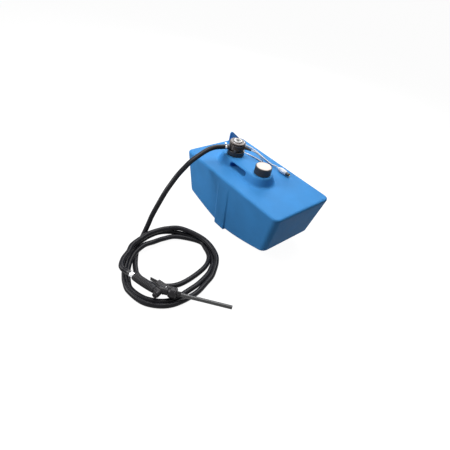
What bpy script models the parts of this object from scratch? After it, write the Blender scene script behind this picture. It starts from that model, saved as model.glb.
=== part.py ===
"""Portable liquid transfer tank: moulded tank, drum pump on one neck, filler cap on the other,
delivery hose coiled on the ground and a trigger nozzle lying on the coil.

Metres, +Z up, the tank's length along X. The origin is on the ground below the tank's middle.
"""
import math

import bmesh
import bpy
import numpy as np
from mathutils import Matrix, Vector

# Driving dimensions
TANK_LENGTH = 0.700
TANK_WIDTH = 0.414
TANK_HEIGHT = 0.315
WALL = 0.005
END_RISE = 0.075          # how far the rocker bottom rises towards each end
END_INSET = 0.039         # how far each end face leans in at its foot
SIDE_DRAFT = 0.038        # how far each side face leans in at the bottom
ROCKER_POWER = 1.5
PLAN_RADIUS = 0.034
EDGE_RADIUS = 0.014
RIB_CENTRE = -0.024
RIB_WIDTH = 0.078
RIB_STAND = 0.009         # how far the rib stands out of the wall at its foot

DOME_CENTRE = Vector((-0.051, -0.030))
DOME_RUN = 0.104          # half the straight run between the dome's round ends
DOME_HEIGHT = 0.045
DOME_FOOT_RADIUS = 0.086
DOME_TOP_RADIUS = 0.062
DOME_TOP = TANK_HEIGHT + DOME_HEIGHT

NECK_RADIUS = 0.0385
NECK_BORE = 0.030
NECK_HEIGHT = 0.016
PUMP_AXIS = Vector((-0.150, -0.030, 0.0))
CAP_AXIS = Vector((0.060, -0.030, 0.0))
CAP_RADIUS = 0.0435
CAP_HEIGHT = 0.041

DRUM_RADIUS = 0.043
DRUM_BASE = DOME_TOP + 0.0335
DRUM_TOP = DOME_TOP + 0.069
OUTLET_WAY = Vector((-0.35, -0.937, 0.0)).normalized()
OUTLET_HEIGHT = DOME_TOP + 0.0425
GLAND_WAY = Vector((0.86, 0.50, -0.10)).normalized()
GLAND_HEIGHT = DOME_TOP + 0.0555

HOSE_RADIUS = 0.0125
COIL_CENTRE = Vector((0.097, -0.583, 0.0))
COIL_HEIGHT = 0.027
COIL_SQUEEZE = 0.86       # the coil is a little narrower along X than along Y
LEAD_RADIUS = 0.0035

GUN_HEIGHT = 0.0525
GUN_START = Vector((0.0999, -0.776, GUN_HEIGHT))
GUN_TURN = math.radians(17.9)
SPOUT_TURN = math.radians(22.5)
SPOUT_START = Vector((0.115, 0.006, 0.0))

GAP = 0.0003              # clearance between pieces that touch
UP = Vector((0.0, 0.0, 1.0))

for existing in list(bpy.data.objects):
    bpy.data.objects.remove(existing, do_unlink=True)

parts = bpy.data.collections.new("portable_transfer_tank")
cutters = bpy.data.collections.new("cutters")
bpy.context.scene.collection.children.link(parts)
bpy.context.scene.collection.children.link(cutters)


def material(name, colour, roughness, metallic=0.0):
    """A plain Principled finish, made once for each name."""
    found = bpy.data.materials.get(name)
    if found:
        return found
    made = bpy.data.materials.new(name)
    made.use_nodes = True
    shader = made.node_tree.nodes["Principled BSDF"]
    shader.inputs["Base Color"].default_value = (*colour, 1.0)
    shader.inputs["Roughness"].default_value = roughness
    shader.inputs["Metallic"].default_value = metallic
    made.diffuse_color = (*colour, 1.0)
    return made


BLUE = material("blue_polyethylene", (0.055, 0.19, 0.50), 0.45)
BLACK = material("black_plastic", (0.02, 0.02, 0.022), 0.5)
CHARCOAL = material("charcoal_casting", (0.06, 0.05, 0.045), 0.5, 0.3)
BEIGE = material("beige_plastic", (0.62, 0.55, 0.52), 0.5)
LIGHT_GREY = material("light_grey_plastic", (0.6, 0.6, 0.6), 0.45)
STEEL = material("stainless_steel", (0.6, 0.6, 0.62), 0.3, 1.0)
CHROME = material("bright_chrome", (0.8, 0.8, 0.82), 0.12, 1.0)
COPPER = material("copper_winding", (0.6, 0.28, 0.14), 0.4, 1.0)
BRASS = material("brass", (0.65, 0.48, 0.2), 0.3, 1.0)
RUBBER = material("black_rubber", (0.015, 0.015, 0.016), 0.7)


def place(obj, finish, parent=None):
    """Put a modelled object in the parts collection with its finish."""
    parts.objects.link(obj)
    if finish:
        obj.data.materials.append(finish)
    obj.parent = parent
    return obj


def aimed(at, way):
    """The matrix that stands a piece modelled along Z at a point, along another direction."""
    turn = UP.rotation_difference(Vector(way)).to_matrix().to_4x4()
    return Matrix.Translation(Vector(at)) @ turn


def turned_object(name, profile, at, way, steps):
    """A profile of (radius, height) pairs turned about its own Z axis."""
    closed = profile[0][0] > 0 and profile[-1][0] > 0
    mesh = bpy.data.meshes.new(name)
    points = [(radius, 0.0, height) for radius, height in profile]
    edges = [(i, i + 1) for i in range(len(points) - 1)]
    if closed:
        edges.append((len(points) - 1, 0))
    mesh.from_pydata(points, edges, [])
    obj = bpy.data.objects.new(name, mesh)
    obj.matrix_world = aimed(at, way)
    screw = obj.modifiers.new("turn", "SCREW")
    screw.axis = "Z"
    screw.steps = steps
    screw.render_steps = steps
    screw.use_merge_vertices = True
    screw.merge_threshold = 0.0001
    screw.use_smooth_shade = True
    return obj


def turned(name, profile, finish, at=(0, 0, 0), way=UP, steps=24, parent=None):
    return place(turned_object(name, profile, at, way, steps), finish, parent)


def rod(radius, low, high):
    """The profile of a plain round bar."""
    return [(0.0, high), (radius, high), (radius, low), (0.0, low)]


def ring(outer, inner, low, high):
    """The profile of a plain round tube."""
    return [(outer, high), (outer, low), (inner, low), (inner, high)]


def block_object(name, low, high):
    """A box between two corners."""
    low = Vector(low)
    high = Vector(high)
    bm = bmesh.new()
    bmesh.ops.create_cube(bm, size=1.0)
    size = Matrix.Diagonal((*(high - low), 1.0))
    bmesh.ops.transform(bm, matrix=Matrix.Translation((low + high) / 2) @ size, verts=bm.verts)
    mesh = bpy.data.meshes.new(name)
    bm.to_mesh(mesh)
    bm.free()
    return bpy.data.objects.new(name, mesh)


def block(name, low, high, finish, parent=None):
    return place(block_object(name, low, high), finish, parent)


def boolean(obj, other, operation, parent=None):
    """Cut or join with a guide object, which is kept in the cutters collection."""
    cutters.objects.link(other)
    other.parent = parent
    other.hide_render = True
    other.display_type = "WIRE"
    step = obj.modifiers.new(operation.lower(), "BOOLEAN")
    step.operation = operation
    step.solver = "EXACT"
    step.object = other
    return obj


def drill(obj, radius, low, high, at=(0, 0, 0), way=UP, steps=24, parent=None):
    cutter = turned_object(obj.name + "_bore", rod(radius, low, high), at, way, steps)
    return boolean(obj, cutter, "DIFFERENCE", parent)


def outline_object(name, points, thickness):
    """A flat plate from its outline in XY, centred on its own plane."""
    curve = bpy.data.curves.new(name, "CURVE")
    curve.dimensions = "2D"
    curve.fill_mode = "BOTH"
    curve.extrude = thickness / 2
    spline = curve.splines.new("POLY")
    spline.points.add(len(points) - 1)
    for point, (x, y) in zip(spline.points, points):
        point.co = (x, y, 0.0, 1.0)
    spline.use_cyclic_u = True
    guide = bpy.data.objects.new(name + "_outline", curve)
    bpy.context.scene.collection.objects.link(guide)
    shape = guide.evaluated_get(bpy.context.evaluated_depsgraph_get())
    mesh = bpy.data.meshes.new_from_object(shape)
    bpy.data.objects.remove(guide)
    bm = bmesh.new()
    bm.from_mesh(mesh)
    bmesh.ops.remove_doubles(bm, verts=bm.verts, dist=0.00001)
    bm.to_mesh(mesh)
    bm.free()
    return bpy.data.objects.new(name, mesh)


def smooth_route(points, spacing):
    """Evenly spaced points on a smooth curve through a route's own points."""
    points = [Vector(p) for p in points]
    ends = [2 * points[0] - points[1]] + points + [2 * points[-1] - points[-2]]
    fine = []
    for a, b, c, d in zip(ends, ends[1:], ends[2:], ends[3:]):
        for t in np.arange(0.0, 1.0, 0.05):
            fine.append(0.5 * (2 * b + (c - a) * t + (2 * a - 5 * b + 4 * c - d) * t * t
                               + (3 * b - a - 3 * c + d) * t ** 3))
    fine.append(points[-1])
    along = np.cumsum([0.0] + [(q - p).length for p, q in zip(fine, fine[1:])])
    count = max(2, round(along[-1] / spacing) + 1)
    places = np.linspace(0.0, along[-1], count)
    columns = [np.interp(places, along, [p[k] for p in fine]) for k in range(3)]
    return list(zip(*columns))


def cord(name, route, radius, finish, resolution, spacing):
    """A cord's plain tube along its route."""
    points = smooth_route(route, radius * spacing)
    curve = bpy.data.curves.new(name, "CURVE")
    curve.dimensions = "3D"
    curve.bevel_depth = radius
    curve.bevel_resolution = resolution
    curve.use_fill_caps = True
    spline = curve.splines.new("POLY")
    spline.points.add(len(points) - 1)
    for point, place_ in zip(spline.points, points):
        point.co = (*place_, 1.0)
    return place(bpy.data.objects.new(name, curve), finish)


# ---------------------------------------------------------------- tank shell
def eased_corner(inset, depth):
    """Move a point of a square edge onto a quarter round of the edge radius."""
    radius = EDGE_RADIUS
    if inset >= radius or depth >= radius:
        return inset, depth
    way = Vector((inset - radius, depth - radius)).normalized() * radius
    return radius + way.x, radius + way.y


def round_plan(x, y, half_x, half_y, radius):
    """Move a point of a square corner, seen from above, onto a round one."""
    core_x = max(-half_x + radius, min(half_x - radius, x))
    core_y = max(-half_y + radius, min(half_y - radius, y))
    out = Vector((x - core_x, y - core_y))
    if abs(out.x) < 1e-9 or abs(out.y) < 1e-9:
        return x, y
    out = out.normalized() * max(abs(out.x), abs(out.y))
    return core_x + out.x, core_y + out.y


def tank_form(name, inset):
    """The tank's rounded, drafted form with its rocker bottom, inset from the outer skin."""
    half_x = TANK_LENGTH / 2 - inset
    half_y = TANK_WIDTH / 2 - inset
    height = TANK_HEIGHT - 2 * inset
    bm = bmesh.new()
    bmesh.ops.create_cube(bm, size=2.0)
    bmesh.ops.scale(bm, vec=(half_x, half_y, height / 2), verts=bm.verts)
    bmesh.ops.translate(bm, vec=(0, 0, height / 2), verts=bm.verts)
    steps = (math.tan(math.pi / 8), 1.0)
    edge_cuts = [EDGE_RADIUS * (1 - steps[0]), EDGE_RADIUS]
    plan_cuts = [PLAN_RADIUS * (1 - steps[0]), PLAN_RADIUS]
    side_cuts = edge_cuts + plan_cuts
    x_cuts = [side * (half_x - cut) for cut in side_cuts for side in (-1, 1)]
    x_cuts += [half_x * share for share in (-0.64, -0.48, -0.32, -0.16, 0.0, 0.16, 0.32, 0.48, 0.64)]
    y_cuts = [side * (half_y - cut) for cut in side_cuts for side in (-1, 1)] + [0.0]
    z_cuts = edge_cuts + [height / 2] + [height - cut for cut in edge_cuts]
    for way, cuts in ((Vector((1, 0, 0)), x_cuts), (Vector((0, 1, 0)), y_cuts), (UP, z_cuts)):
        for cut in cuts:
            everything = bm.verts[:] + bm.edges[:] + bm.faces[:]
            bmesh.ops.bisect_plane(bm, geom=everything, plane_co=way * cut, plane_no=way)
    for vert in bm.verts:
        x, y, z = vert.co
        side = min(half_x - abs(x), half_y - abs(y))
        depth = min(z, height - z)
        new_side, new_depth = eased_corner(side, depth)
        if side < min(half_x, half_y) - 1e-6:
            x *= (half_x - new_side) / (half_x - side)
            y *= (half_y - new_side) / (half_y - side)
        z = new_depth if z < height / 2 else height - new_depth
        x, y = round_plan(x, y, half_x, half_y, PLAN_RADIUS)
        rise = END_RISE * abs(x / half_x) ** ROCKER_POWER
        z = inset + z + rise * (1 - z / height)
        drop = (TANK_HEIGHT - z) / TANK_HEIGHT
        x *= 1 - END_INSET / (TANK_LENGTH / 2) * drop * TANK_HEIGHT / (TANK_HEIGHT - END_RISE)
        y *= 1 - SIDE_DRAFT / (TANK_WIDTH / 2) * drop
        vert.co = (x, y, z)
    mesh = bpy.data.meshes.new(name)
    bm.to_mesh(mesh)
    bm.free()
    return bpy.data.objects.new(name, mesh)


def dome_form(name):
    """The raised dome that carries both necks: a turned plateau, split and drawn out along X."""
    foot = DOME_FOOT_RADIUS
    top = DOME_TOP_RADIUS
    profile = [(0.0, DOME_HEIGHT), (top - 0.008, DOME_HEIGHT), (top, DOME_HEIGHT - 0.004),
               (top + 0.005, DOME_HEIGHT - 0.013), (foot - 0.009, 0.010), (foot - 0.004, 0.0035),
               (foot + 0.006, 0.0), (foot + 0.006, -0.003), (0.0, -0.003)]
    count = 32
    bm = bmesh.new()
    rings = []
    for radius, height in profile[1:-1]:
        made = bmesh.ops.create_circle(bm, radius=radius, segments=count)
        turn = Matrix.Rotation(math.pi / count, 4, "Z")
        bmesh.ops.transform(bm, matrix=Matrix.Translation((0, 0, height)) @ turn, verts=made["verts"])
        rings.append([e for e in bm.edges if e.verts[0] in made["verts"]])
    for upper, lower in zip(rings, rings[1:]):
        bmesh.ops.bridge_loops(bm, edges=upper + lower)
    for edge_loop in (rings[0], rings[-1]):
        bmesh.ops.contextual_create(bm, geom=edge_loop)
    for vert in bm.verts:
        vert.co.x += math.copysign(DOME_RUN, vert.co.x)
        vert.co += Vector((DOME_CENTRE.x, DOME_CENTRE.y, TANK_HEIGHT))
    bmesh.ops.recalc_face_normals(bm, faces=bm.faces)
    mesh = bpy.data.meshes.new(name)
    bm.to_mesh(mesh)
    bm.free()
    return bpy.data.objects.new(name, mesh)


tank = place(tank_form("tank_shell", 0.0), BLUE)
rib = block_object("rib_foot", (RIB_CENTRE - RIB_WIDTH / 2, -TANK_WIDTH / 2 + 0.003, 0.0),
                   (RIB_CENTRE + RIB_WIDTH / 2, TANK_WIDTH / 2 - 0.003, TANK_HEIGHT - 0.035))
for corner in rib.data.vertices:
    if corner.co.z < 0.01:
        corner.co.y = math.copysign(TANK_WIDTH / 2 - SIDE_DRAFT + RIB_STAND, corner.co.y)
tank.location.z = 0.002
boolean(tank, rib, "UNION")
boolean(tank, dome_form("dome"), "UNION")
for label, axis in (("pump", PUMP_AXIS), ("filler", CAP_AXIS)):
    neck = turned_object(label + "_neck", rod(NECK_RADIUS, DOME_TOP - 0.005, DOME_TOP + NECK_HEIGHT),
                         axis, UP, 28)
    boolean(tank, neck, "UNION")
for axis in (PUMP_AXIS, CAP_AXIS):
    drill(tank, NECK_BORE, TANK_HEIGHT - 0.02, DOME_TOP + NECK_HEIGHT + 0.01, axis, UP, 28)
boolean(tank, tank_form("tank_hollow", WALL), "DIFFERENCE")
SLOT_LOW = TANK_HEIGHT + 0.008
SLOT_HIGH = TANK_HEIGHT + 0.034
SLOT_RUN = 0.046
slot_radius = (SLOT_HIGH - SLOT_LOW) / 2
slot_points = []
for step in range(16):
    angle = math.pi * (step + 0.5) / 8 - math.pi / 2
    side = math.copysign(SLOT_RUN, math.cos(angle))
    slot_points.append((side + slot_radius * math.cos(angle), slot_radius * math.sin(angle)))
slot = outline_object("hand_hold", slot_points, 0.30)
slot.matrix_world = (Matrix.Translation((DOME_CENTRE.x + 0.003, DOME_CENTRE.y, TANK_HEIGHT + 0.021))
                     @ Matrix.Rotation(math.pi / 2, 4, "X"))
boolean(tank, slot, "DIFFERENCE")

# ------------------------------------------------------------- nozzle hook
HOOK_LOW = Vector((-0.334, 0.088, TANK_HEIGHT + 0.002 + GAP))
HOOK_HIGH = Vector((-0.296, 0.166, HOOK_LOW.z + 0.004))
hook = block("nozzle_hook", HOOK_LOW, HOOK_HIGH, BLUE)
fin_length = HOOK_HIGH.y - HOOK_LOW.y
fin = outline_object("hook_fin", [(0.0, -0.002), (fin_length, -0.002), (fin_length, 0.008),
                                  (0.018, 0.056), (0.008, 0.058), (0.0, 0.050)], 0.006)
fin.matrix_world = (Matrix.Translation((HOOK_LOW.x + 0.0045, HOOK_LOW.y, HOOK_HIGH.z))
                    @ Matrix.Rotation(math.pi / 2, 4, "Z") @ Matrix.Rotation(math.pi / 2, 4, "X"))
boolean(hook, fin, "UNION")
HOOK_SCREWS = ((-0.318, 0.096), (-0.303, 0.127), (-0.318, 0.157))
screw_profile = [(0.0, 0.0045), (0.003, 0.0045), (0.005, 0.003), (0.005, 0.0), (0.0, 0.0)]
for index, (x, y) in enumerate(HOOK_SCREWS):
    at = Vector((x, y, HOOK_HIGH.z + GAP))
    turned("hook_screw_%d" % (index + 1), screw_profile, BLACK, at, UP, 12)

# --------------------------------------------------------------- filler cap
cap_base = DOME_TOP + 0.001
cap_top = cap_base + CAP_HEIGHT
seal_base = DOME_TOP + NECK_HEIGHT + GAP
seal_top = seal_base + 0.003 + GAP
turned("filler_cap", [(CAP_RADIUS - 0.004, cap_top), (CAP_RADIUS - 0.001, cap_top - 0.0015),
                      (CAP_RADIUS, cap_top - 0.004), (CAP_RADIUS, cap_base),
                      (NECK_RADIUS + 0.001, cap_base), (NECK_RADIUS + 0.001, seal_top),
                      (0.0, seal_top), (0.0, cap_top - 0.005),
                      (CAP_RADIUS - 0.004, cap_top - 0.005)], BLACK, CAP_AXIS, UP, 28)
turned("cap_top_disc", [(0.0, cap_top + 0.0005), (CAP_RADIUS - 0.007, cap_top + 0.0005),
                        (CAP_RADIUS - 0.0043, cap_top - 0.001), (CAP_RADIUS - 0.0043, cap_top - 0.0047),
                        (0.0, cap_top - 0.0047)], BEIGE, CAP_AXIS, UP, 28)
turned("cap_seal", ring(NECK_RADIUS - 0.0005, NECK_BORE - 0.004, seal_base, seal_base + 0.003),
       RUBBER, CAP_AXIS, UP, 32)

# ------------------------------------------------------------- pump mounting
neck_top = DOME_TOP + NECK_HEIGHT
turned("flange_gasket", ring(NECK_RADIUS - 0.0005, NECK_BORE + 0.001, neck_top + GAP, neck_top + 0.0023),
       RUBBER, PUMP_AXIS, UP, 32)
FLANGE_LOW = neck_top + 0.0026
FLANGE_HIGH = FLANGE_LOW + 0.006
SUCTION_AXIS = PUMP_AXIS + Vector((-0.015, 0.0, 0.0))
flange = turned("pump_flange", [(0.0, FLANGE_HIGH), (NECK_RADIUS - 0.0005, FLANGE_HIGH),
                                (NECK_RADIUS - 0.0005, FLANGE_LOW), (NECK_BORE - 0.001, FLANGE_LOW),
                                (NECK_BORE - 0.001, FLANGE_LOW - 0.020), (0.0, FLANGE_LOW - 0.020)],
                CHARCOAL, PUMP_AXIS, UP, 32)
drill(flange, 0.0083, FLANGE_LOW - 0.03, FLANGE_HIGH - 0.004, SUCTION_AXIS, UP, 16)
drill(flange, 0.0055, FLANGE_LOW - 0.03, FLANGE_HIGH + 0.01, SUCTION_AXIS, UP, 16)
NUT_HIGH = FLANGE_HIGH + 0.0036
turned("pump_ring_nut", [(0.0335, NUT_HIGH), (0.0435, NUT_HIGH), (0.0455, NUT_HIGH - 0.002),
                         (0.0455, DOME_TOP + 0.001), (NECK_RADIUS + 0.0008, DOME_TOP + 0.001),
                         (NECK_RADIUS + 0.0008, FLANGE_HIGH + GAP), (0.0335, FLANGE_HIGH + GAP)],
       BLACK, PUMP_AXIS, UP, 28)
TUBE_LOW = 0.070
turned("suction_tube", ring(0.0080, 0.0060, TUBE_LOW, FLANGE_HIGH - 0.0045), LIGHT_GREY,
       SUCTION_AXIS, UP, 16)
strainer = turned("foot_strainer", rod(0.0125, TUBE_LOW - 0.026, TUBE_LOW - GAP), BLACK,
                  SUCTION_AXIS, UP, 20)
drill(strainer, 0.0050, TUBE_LOW - 0.012, TUBE_LOW + 0.01, SUCTION_AXIS, UP, 16)
drill(strainer, 0.0100, TUBE_LOW - 0.022, TUBE_LOW - 0.008, SUCTION_AXIS, UP, 20)
for angle in (0.0, math.pi / 2):
    way = Vector((math.cos(angle), math.sin(angle), 0.0))
    drill(strainer, 0.0045, -0.02, 0.02, SUCTION_AXIS + UP * (TUBE_LOW - 0.0165), way, 12)
turned("foot_valve_disc", rod(0.0080, TUBE_LOW - 0.0217, TUBE_LOW - 0.0197), RUBBER,
       SUCTION_AXIS, UP, 16)

# ---------------------------------------------------------------- pump drum
CHAMBER_LOW = FLANGE_HIGH + 0.0025
CHAMBER_HIGH = CHAMBER_LOW + 0.0090
MOTOR_LOW = CHAMBER_HIGH + 0.0130
fin_profile = []
fin_count = 3
fin_zone = (DRUM_BASE + 0.006, DRUM_TOP - 0.006)
for index in range(fin_count, 0, -1):
    high = fin_zone[0] + (fin_zone[1] - fin_zone[0]) * index / fin_count
    pitch = (fin_zone[1] - fin_zone[0]) / fin_count
    fin_profile += [(DRUM_RADIUS, high), (DRUM_RADIUS, high - pitch * 0.5),
                    (DRUM_RADIUS - 0.002, high - pitch * 0.6), (DRUM_RADIUS - 0.002, high - pitch * 0.9)]
drum = turned("pump_housing", [(0.0, DRUM_TOP)] + fin_profile
              + [(DRUM_RADIUS, DRUM_BASE + 0.004), (DRUM_RADIUS - 0.004, DRUM_BASE),
                 (0.032, DRUM_BASE - 0.003), (0.032, FLANGE_HIGH + GAP), (0.0, FLANGE_HIGH + GAP)],
              CHARCOAL, PUMP_AXIS, UP, 28)
CHAMBER_AXIS = PUMP_AXIS + Vector((0.002, 0.0, 0.0))
drill(drum, 0.0245, CHAMBER_LOW, CHAMBER_HIGH, CHAMBER_AXIS, UP, 32)
drill(drum, 0.0365, MOTOR_LOW, DRUM_TOP + 0.01, PUMP_AXIS, UP, 32)
drill(drum, 0.0100, CHAMBER_HIGH - 0.002, MOTOR_LOW + 0.002, PUMP_AXIS, UP, 20)
drill(drum, 0.0055, FLANGE_LOW, CHAMBER_LOW + 0.002, SUCTION_AXIS, UP, 16)
OUTLET_AT = PUMP_AXIS + UP * OUTLET_HEIGHT
drill(drum, 0.0050, 0.0165, 0.06, OUTLET_AT, OUTLET_WAY, 12)
drill(drum, 0.0030, CHAMBER_HIGH - 0.002, OUTLET_HEIGHT, PUMP_AXIS + OUTLET_WAY * 0.0205, UP, 12)
RELIEF_WAY = Vector((0.60, -0.80, 0.0))
RELIEF_AT = PUMP_AXIS + UP * (CHAMBER_LOW + 0.0092)
drill(drum, 0.0050, 0.0200, 0.060, RELIEF_AT, RELIEF_WAY, 16)
GLAND_AT = PUMP_AXIS + UP * GLAND_HEIGHT
drill(drum, 0.0042, 0.030, 0.060, GLAND_AT, GLAND_WAY, 12)

rotor = turned("vane_rotor", rod(0.0205, CHAMBER_LOW + 0.0005, CHAMBER_HIGH - 0.0005), STEEL,
               PUMP_AXIS, UP, 28)
drill(rotor, 0.0040 + GAP, CHAMBER_LOW - 0.002, CHAMBER_HIGH + 0.002, PUMP_AXIS, UP, 16)
VANE_HALF = 0.0012
for third in range(3):
    turn = Matrix.Rotation(math.tau / 3 * third + math.pi / 4, 4, "Z")
    spot = Matrix.Translation(PUMP_AXIS + UP * (CHAMBER_LOW + CHAMBER_HIGH) / 2) @ turn
    groove = block_object("vane_groove_%d" % third, (0.0100, -VANE_HALF - GAP, -0.01),
                          (0.03, VANE_HALF + GAP, 0.01))
    groove.matrix_world = spot
    boolean(rotor, groove, "DIFFERENCE")
    vane = block("vane_%d" % (third + 1), (0.0105, -VANE_HALF, -0.0038),
                 (0.0213, VANE_HALF, 0.0038), BLACK)
    vane.matrix_world = spot
SHAFT_HIGH = DRUM_TOP - 0.0060
turned("motor_shaft", rod(0.0040, CHAMBER_LOW + 0.0008, SHAFT_HIGH), STEEL, PUMP_AXIS, UP, 16)
turned("shaft_seal", ring(0.0097, 0.0043, CHAMBER_HIGH + 0.0004, CHAMBER_HIGH + 0.0035), RUBBER,
       PUMP_AXIS, UP, 20)
turned("bearing_lower", ring(0.0097, 0.0043, CHAMBER_HIGH + 0.0039, MOTOR_LOW - 0.0005), STEEL,
       PUMP_AXIS, UP, 20)
turned("motor_armature", ring(0.0170, 0.0043, MOTOR_LOW + 0.0020, DRUM_TOP - 0.0130), COPPER,
       PUMP_AXIS, UP, 20)
turned("motor_stator", ring(0.0360, 0.0180, MOTOR_LOW + GAP, DRUM_TOP - 0.0115), STEEL,
       PUMP_AXIS, UP, 28)
turned("motor_end_plate", ring(0.0360, 0.0093, DRUM_TOP - 0.0110, DRUM_TOP - 0.0065), CHARCOAL,
       PUMP_AXIS, UP, 28)
turned("bearing_upper", ring(0.0090, 0.0043, DRUM_TOP - 0.0110, DRUM_TOP - 0.0065), STEEL,
       PUMP_AXIS, UP, 20)

# ---------------------------------------------------------- cover and switch
COVER_HIGH = DRUM_TOP + 0.0053
cover = turned("pump_cover", [(0.0, COVER_HIGH), (DRUM_RADIUS - 0.003, COVER_HIGH),
                              (DRUM_RADIUS - 0.0005, COVER_HIGH - 0.0025),
                              (DRUM_RADIUS - 0.0005, DRUM_TOP + GAP), (0.0, DRUM_TOP + GAP)],
               CHARCOAL, PUMP_AXIS, UP, 28)
drill(cover, 0.0033, DRUM_TOP - 0.01, COVER_HIGH + 0.01, PUMP_AXIS, UP, 12)
head_profile = [(0.0, 0.0025), (0.0018, 0.0025), (0.0030, 0.0015), (0.0030, 0.0), (0.0, 0.0)]
for third in range(3):
    angle = math.tau / 3 * third + math.pi / 4
    at = PUMP_AXIS + Vector((math.cos(angle), math.sin(angle), 0.0)) * 0.033
    at.z = COVER_HIGH + GAP
    turned("cover_screw_%d" % (third + 1), head_profile, STEEL, at, UP, 10)
turned("switch_ring", [(0.0150, COVER_HIGH + 0.006), (0.0205, COVER_HIGH + 0.006),
                       (0.0225, COVER_HIGH + 0.004), (0.0225, COVER_HIGH + GAP),
                       (0.0150, COVER_HIGH + GAP)], LIGHT_GREY, PUMP_AXIS, UP, 24)
knob = turned("power_knob", [(0.0, COVER_HIGH + 0.0058), (0.0140, COVER_HIGH + 0.0058),
                             (0.0145, COVER_HIGH + 0.0048), (0.0145, COVER_HIGH + 0.0006),
                             (0.0030, COVER_HIGH + 0.0006), (0.0030, DRUM_TOP - 0.0018),
                             (0.0, DRUM_TOP - 0.0018)], BLACK, PUMP_AXIS, UP, 28)
KNOB_TURN = Matrix.Rotation(math.radians(-35), 4, "Z")
knob_bar = block_object("knob_bar", (-0.0130, -0.0030, 0.0), (0.0130, 0.0030, 0.0050))
knob_bar.matrix_world = Matrix.Translation(PUMP_AXIS + UP * (COVER_HIGH + 0.0053)) @ KNOB_TURN
boolean(knob, knob_bar, "UNION")
turned("switch_body", rod(0.0110, SHAFT_HIGH + 0.0008, DRUM_TOP - 0.0021), BLACK, PUMP_AXIS, UP, 20)

# ------------------------------------------------------------- relief valve
turned("relief_poppet", [(0.0, 0.0240), (0.0046, 0.0240), (0.0046, 0.0215), (0.0, 0.0215)], BRASS,
       RELIEF_AT, RELIEF_WAY, 14)
turned("relief_spring", ring(0.0044, 0.0032, 0.0243, 0.0385), STEEL, RELIEF_AT, RELIEF_WAY, 12)
turned("relief_plug", [(0.0, 0.0500), (0.0065, 0.0500), (0.0075, 0.0490), (0.0075, 0.0434),
                       (0.0046, 0.0434), (0.0046, 0.0388), (0.0, 0.0388)], BLACK,
       RELIEF_AT, RELIEF_WAY, 12)

# ------------------------------------------------------ outlet and its clamp
port = turned("outlet_port", [(0.0, 0.0580), (0.0125, 0.0580), (0.0125, 0.0490), (0.0137, 0.0480),
                              (0.0137, 0.0434), (0.0, 0.0434)], BLACK, OUTLET_AT, OUTLET_WAY, 24)
drill(port, 0.0075, 0.040, 0.062, OUTLET_AT, OUTLET_WAY, 16)
HOSE_FROM = OUTLET_AT + OUTLET_WAY * (0.0580 + GAP)
turned("hose_clamp", ring(HOSE_RADIUS + 0.0018, HOSE_RADIUS + 0.0004, 0.0620, 0.0720), STEEL,
       OUTLET_AT, OUTLET_WAY, 28)
CLAMP_SIDE = OUTLET_WAY.cross(UP)
clamp_spot = OUTLET_AT + OUTLET_WAY * 0.0670 + UP * (HOSE_RADIUS + 0.0061)
turned("clamp_screw", [(0.0, 0.009), (0.0038, 0.009), (0.0038, 0.004), (0.0026, 0.0035),
                       (0.0026, -0.008), (0.0, -0.008)], STEEL, clamp_spot, CLAMP_SIDE, 12)

# ------------------------------------------------------------ delivery hose
HOSE_ROUTE = [HOSE_FROM,
              HOSE_FROM + OUTLET_WAY * 0.012,
              HOSE_FROM + OUTLET_WAY * 0.024,
              (-0.190, -0.150, OUTLET_AT.z),
              (-0.1905, -0.200, 0.396),
              (-0.179, -0.264, 0.384),
              (-0.170, -0.317, 0.368),
              (-0.1625, -0.3585, 0.346),
              (-0.156, -0.398, 0.320),
              (-0.150, -0.435, 0.286),
              (-0.147, -0.467, 0.248),
              (-0.144, -0.498, 0.202),
              (-0.1385, -0.541, 0.134),
              (-0.135, -0.562, 0.090),
              (-0.128, -0.585, 0.052),
              (-0.1225, -0.597, 0.038)]
cord("hose_lead", HOSE_ROUTE, HOSE_RADIUS, BLACK, 3, 2.0)
coil = turned("hose_coil", [(0.145, COIL_HEIGHT), (0.240, COIL_HEIGHT), (0.2500, COIL_HEIGHT * 0.65),
                            (0.2500, COIL_HEIGHT * 0.35), (0.240, 0.0), (0.145, 0.0),
                            (0.135, COIL_HEIGHT * 0.35), (0.135, COIL_HEIGHT * 0.65)],
              BLACK, COIL_CENTRE, UP, 40)
coil.scale.x = COIL_SQUEEZE

# ------------------------------------------------------------------ nozzle
gun = bpy.data.objects.new("gun_frame", None)
gun.location = GUN_START
gun.rotation_euler.z = GUN_TURN
parts.objects.link(gun)
ALONG = Vector((1, 0, 0))
SPOUT_WAY = Vector((math.cos(SPOUT_TURN), math.sin(SPOUT_TURN), 0.0))
gun_matrix = Matrix.Translation(GUN_START) @ Matrix.Rotation(GUN_TURN, 4, "Z")

grip_profile = [(0.0, 0.1180), (0.0165, 0.1180)]
rib_count = 6
for index in range(rib_count, 0, -1):
    high = 0.012 + 0.098 * index / rib_count
    body_radius = 0.0185 + 0.0015 * math.sin(math.pi * index / rib_count)
    grip_profile += [(body_radius, high), (body_radius, high - 0.0110),
                     (body_radius - 0.0015, high - 0.0125), (body_radius - 0.0015, high - 0.0150)]
grip_profile += [(0.0175, 0.008), (0.0150, 0.0), (0.0, 0.0)]
grip = turned("grip", grip_profile, BLACK, (0, 0, 0), ALONG, 16, gun)
drill(grip, 0.0080, -0.01, 0.13, (0, 0, 0), ALONG, 16, gun)

turned("swivel_body", ring(0.0140, 0.0080, -0.0180, -GAP), CHROME, (0, 0, 0), ALONG, 24, gun)
turned("swivel_tail", [(0.0125, -0.0183), (0.0135, -0.0200), (0.0135, -0.0360), (0.0080, -0.0360),
                       (0.0080, -0.0183)], BLACK, (0, 0, 0), ALONG, 24, gun)

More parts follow.
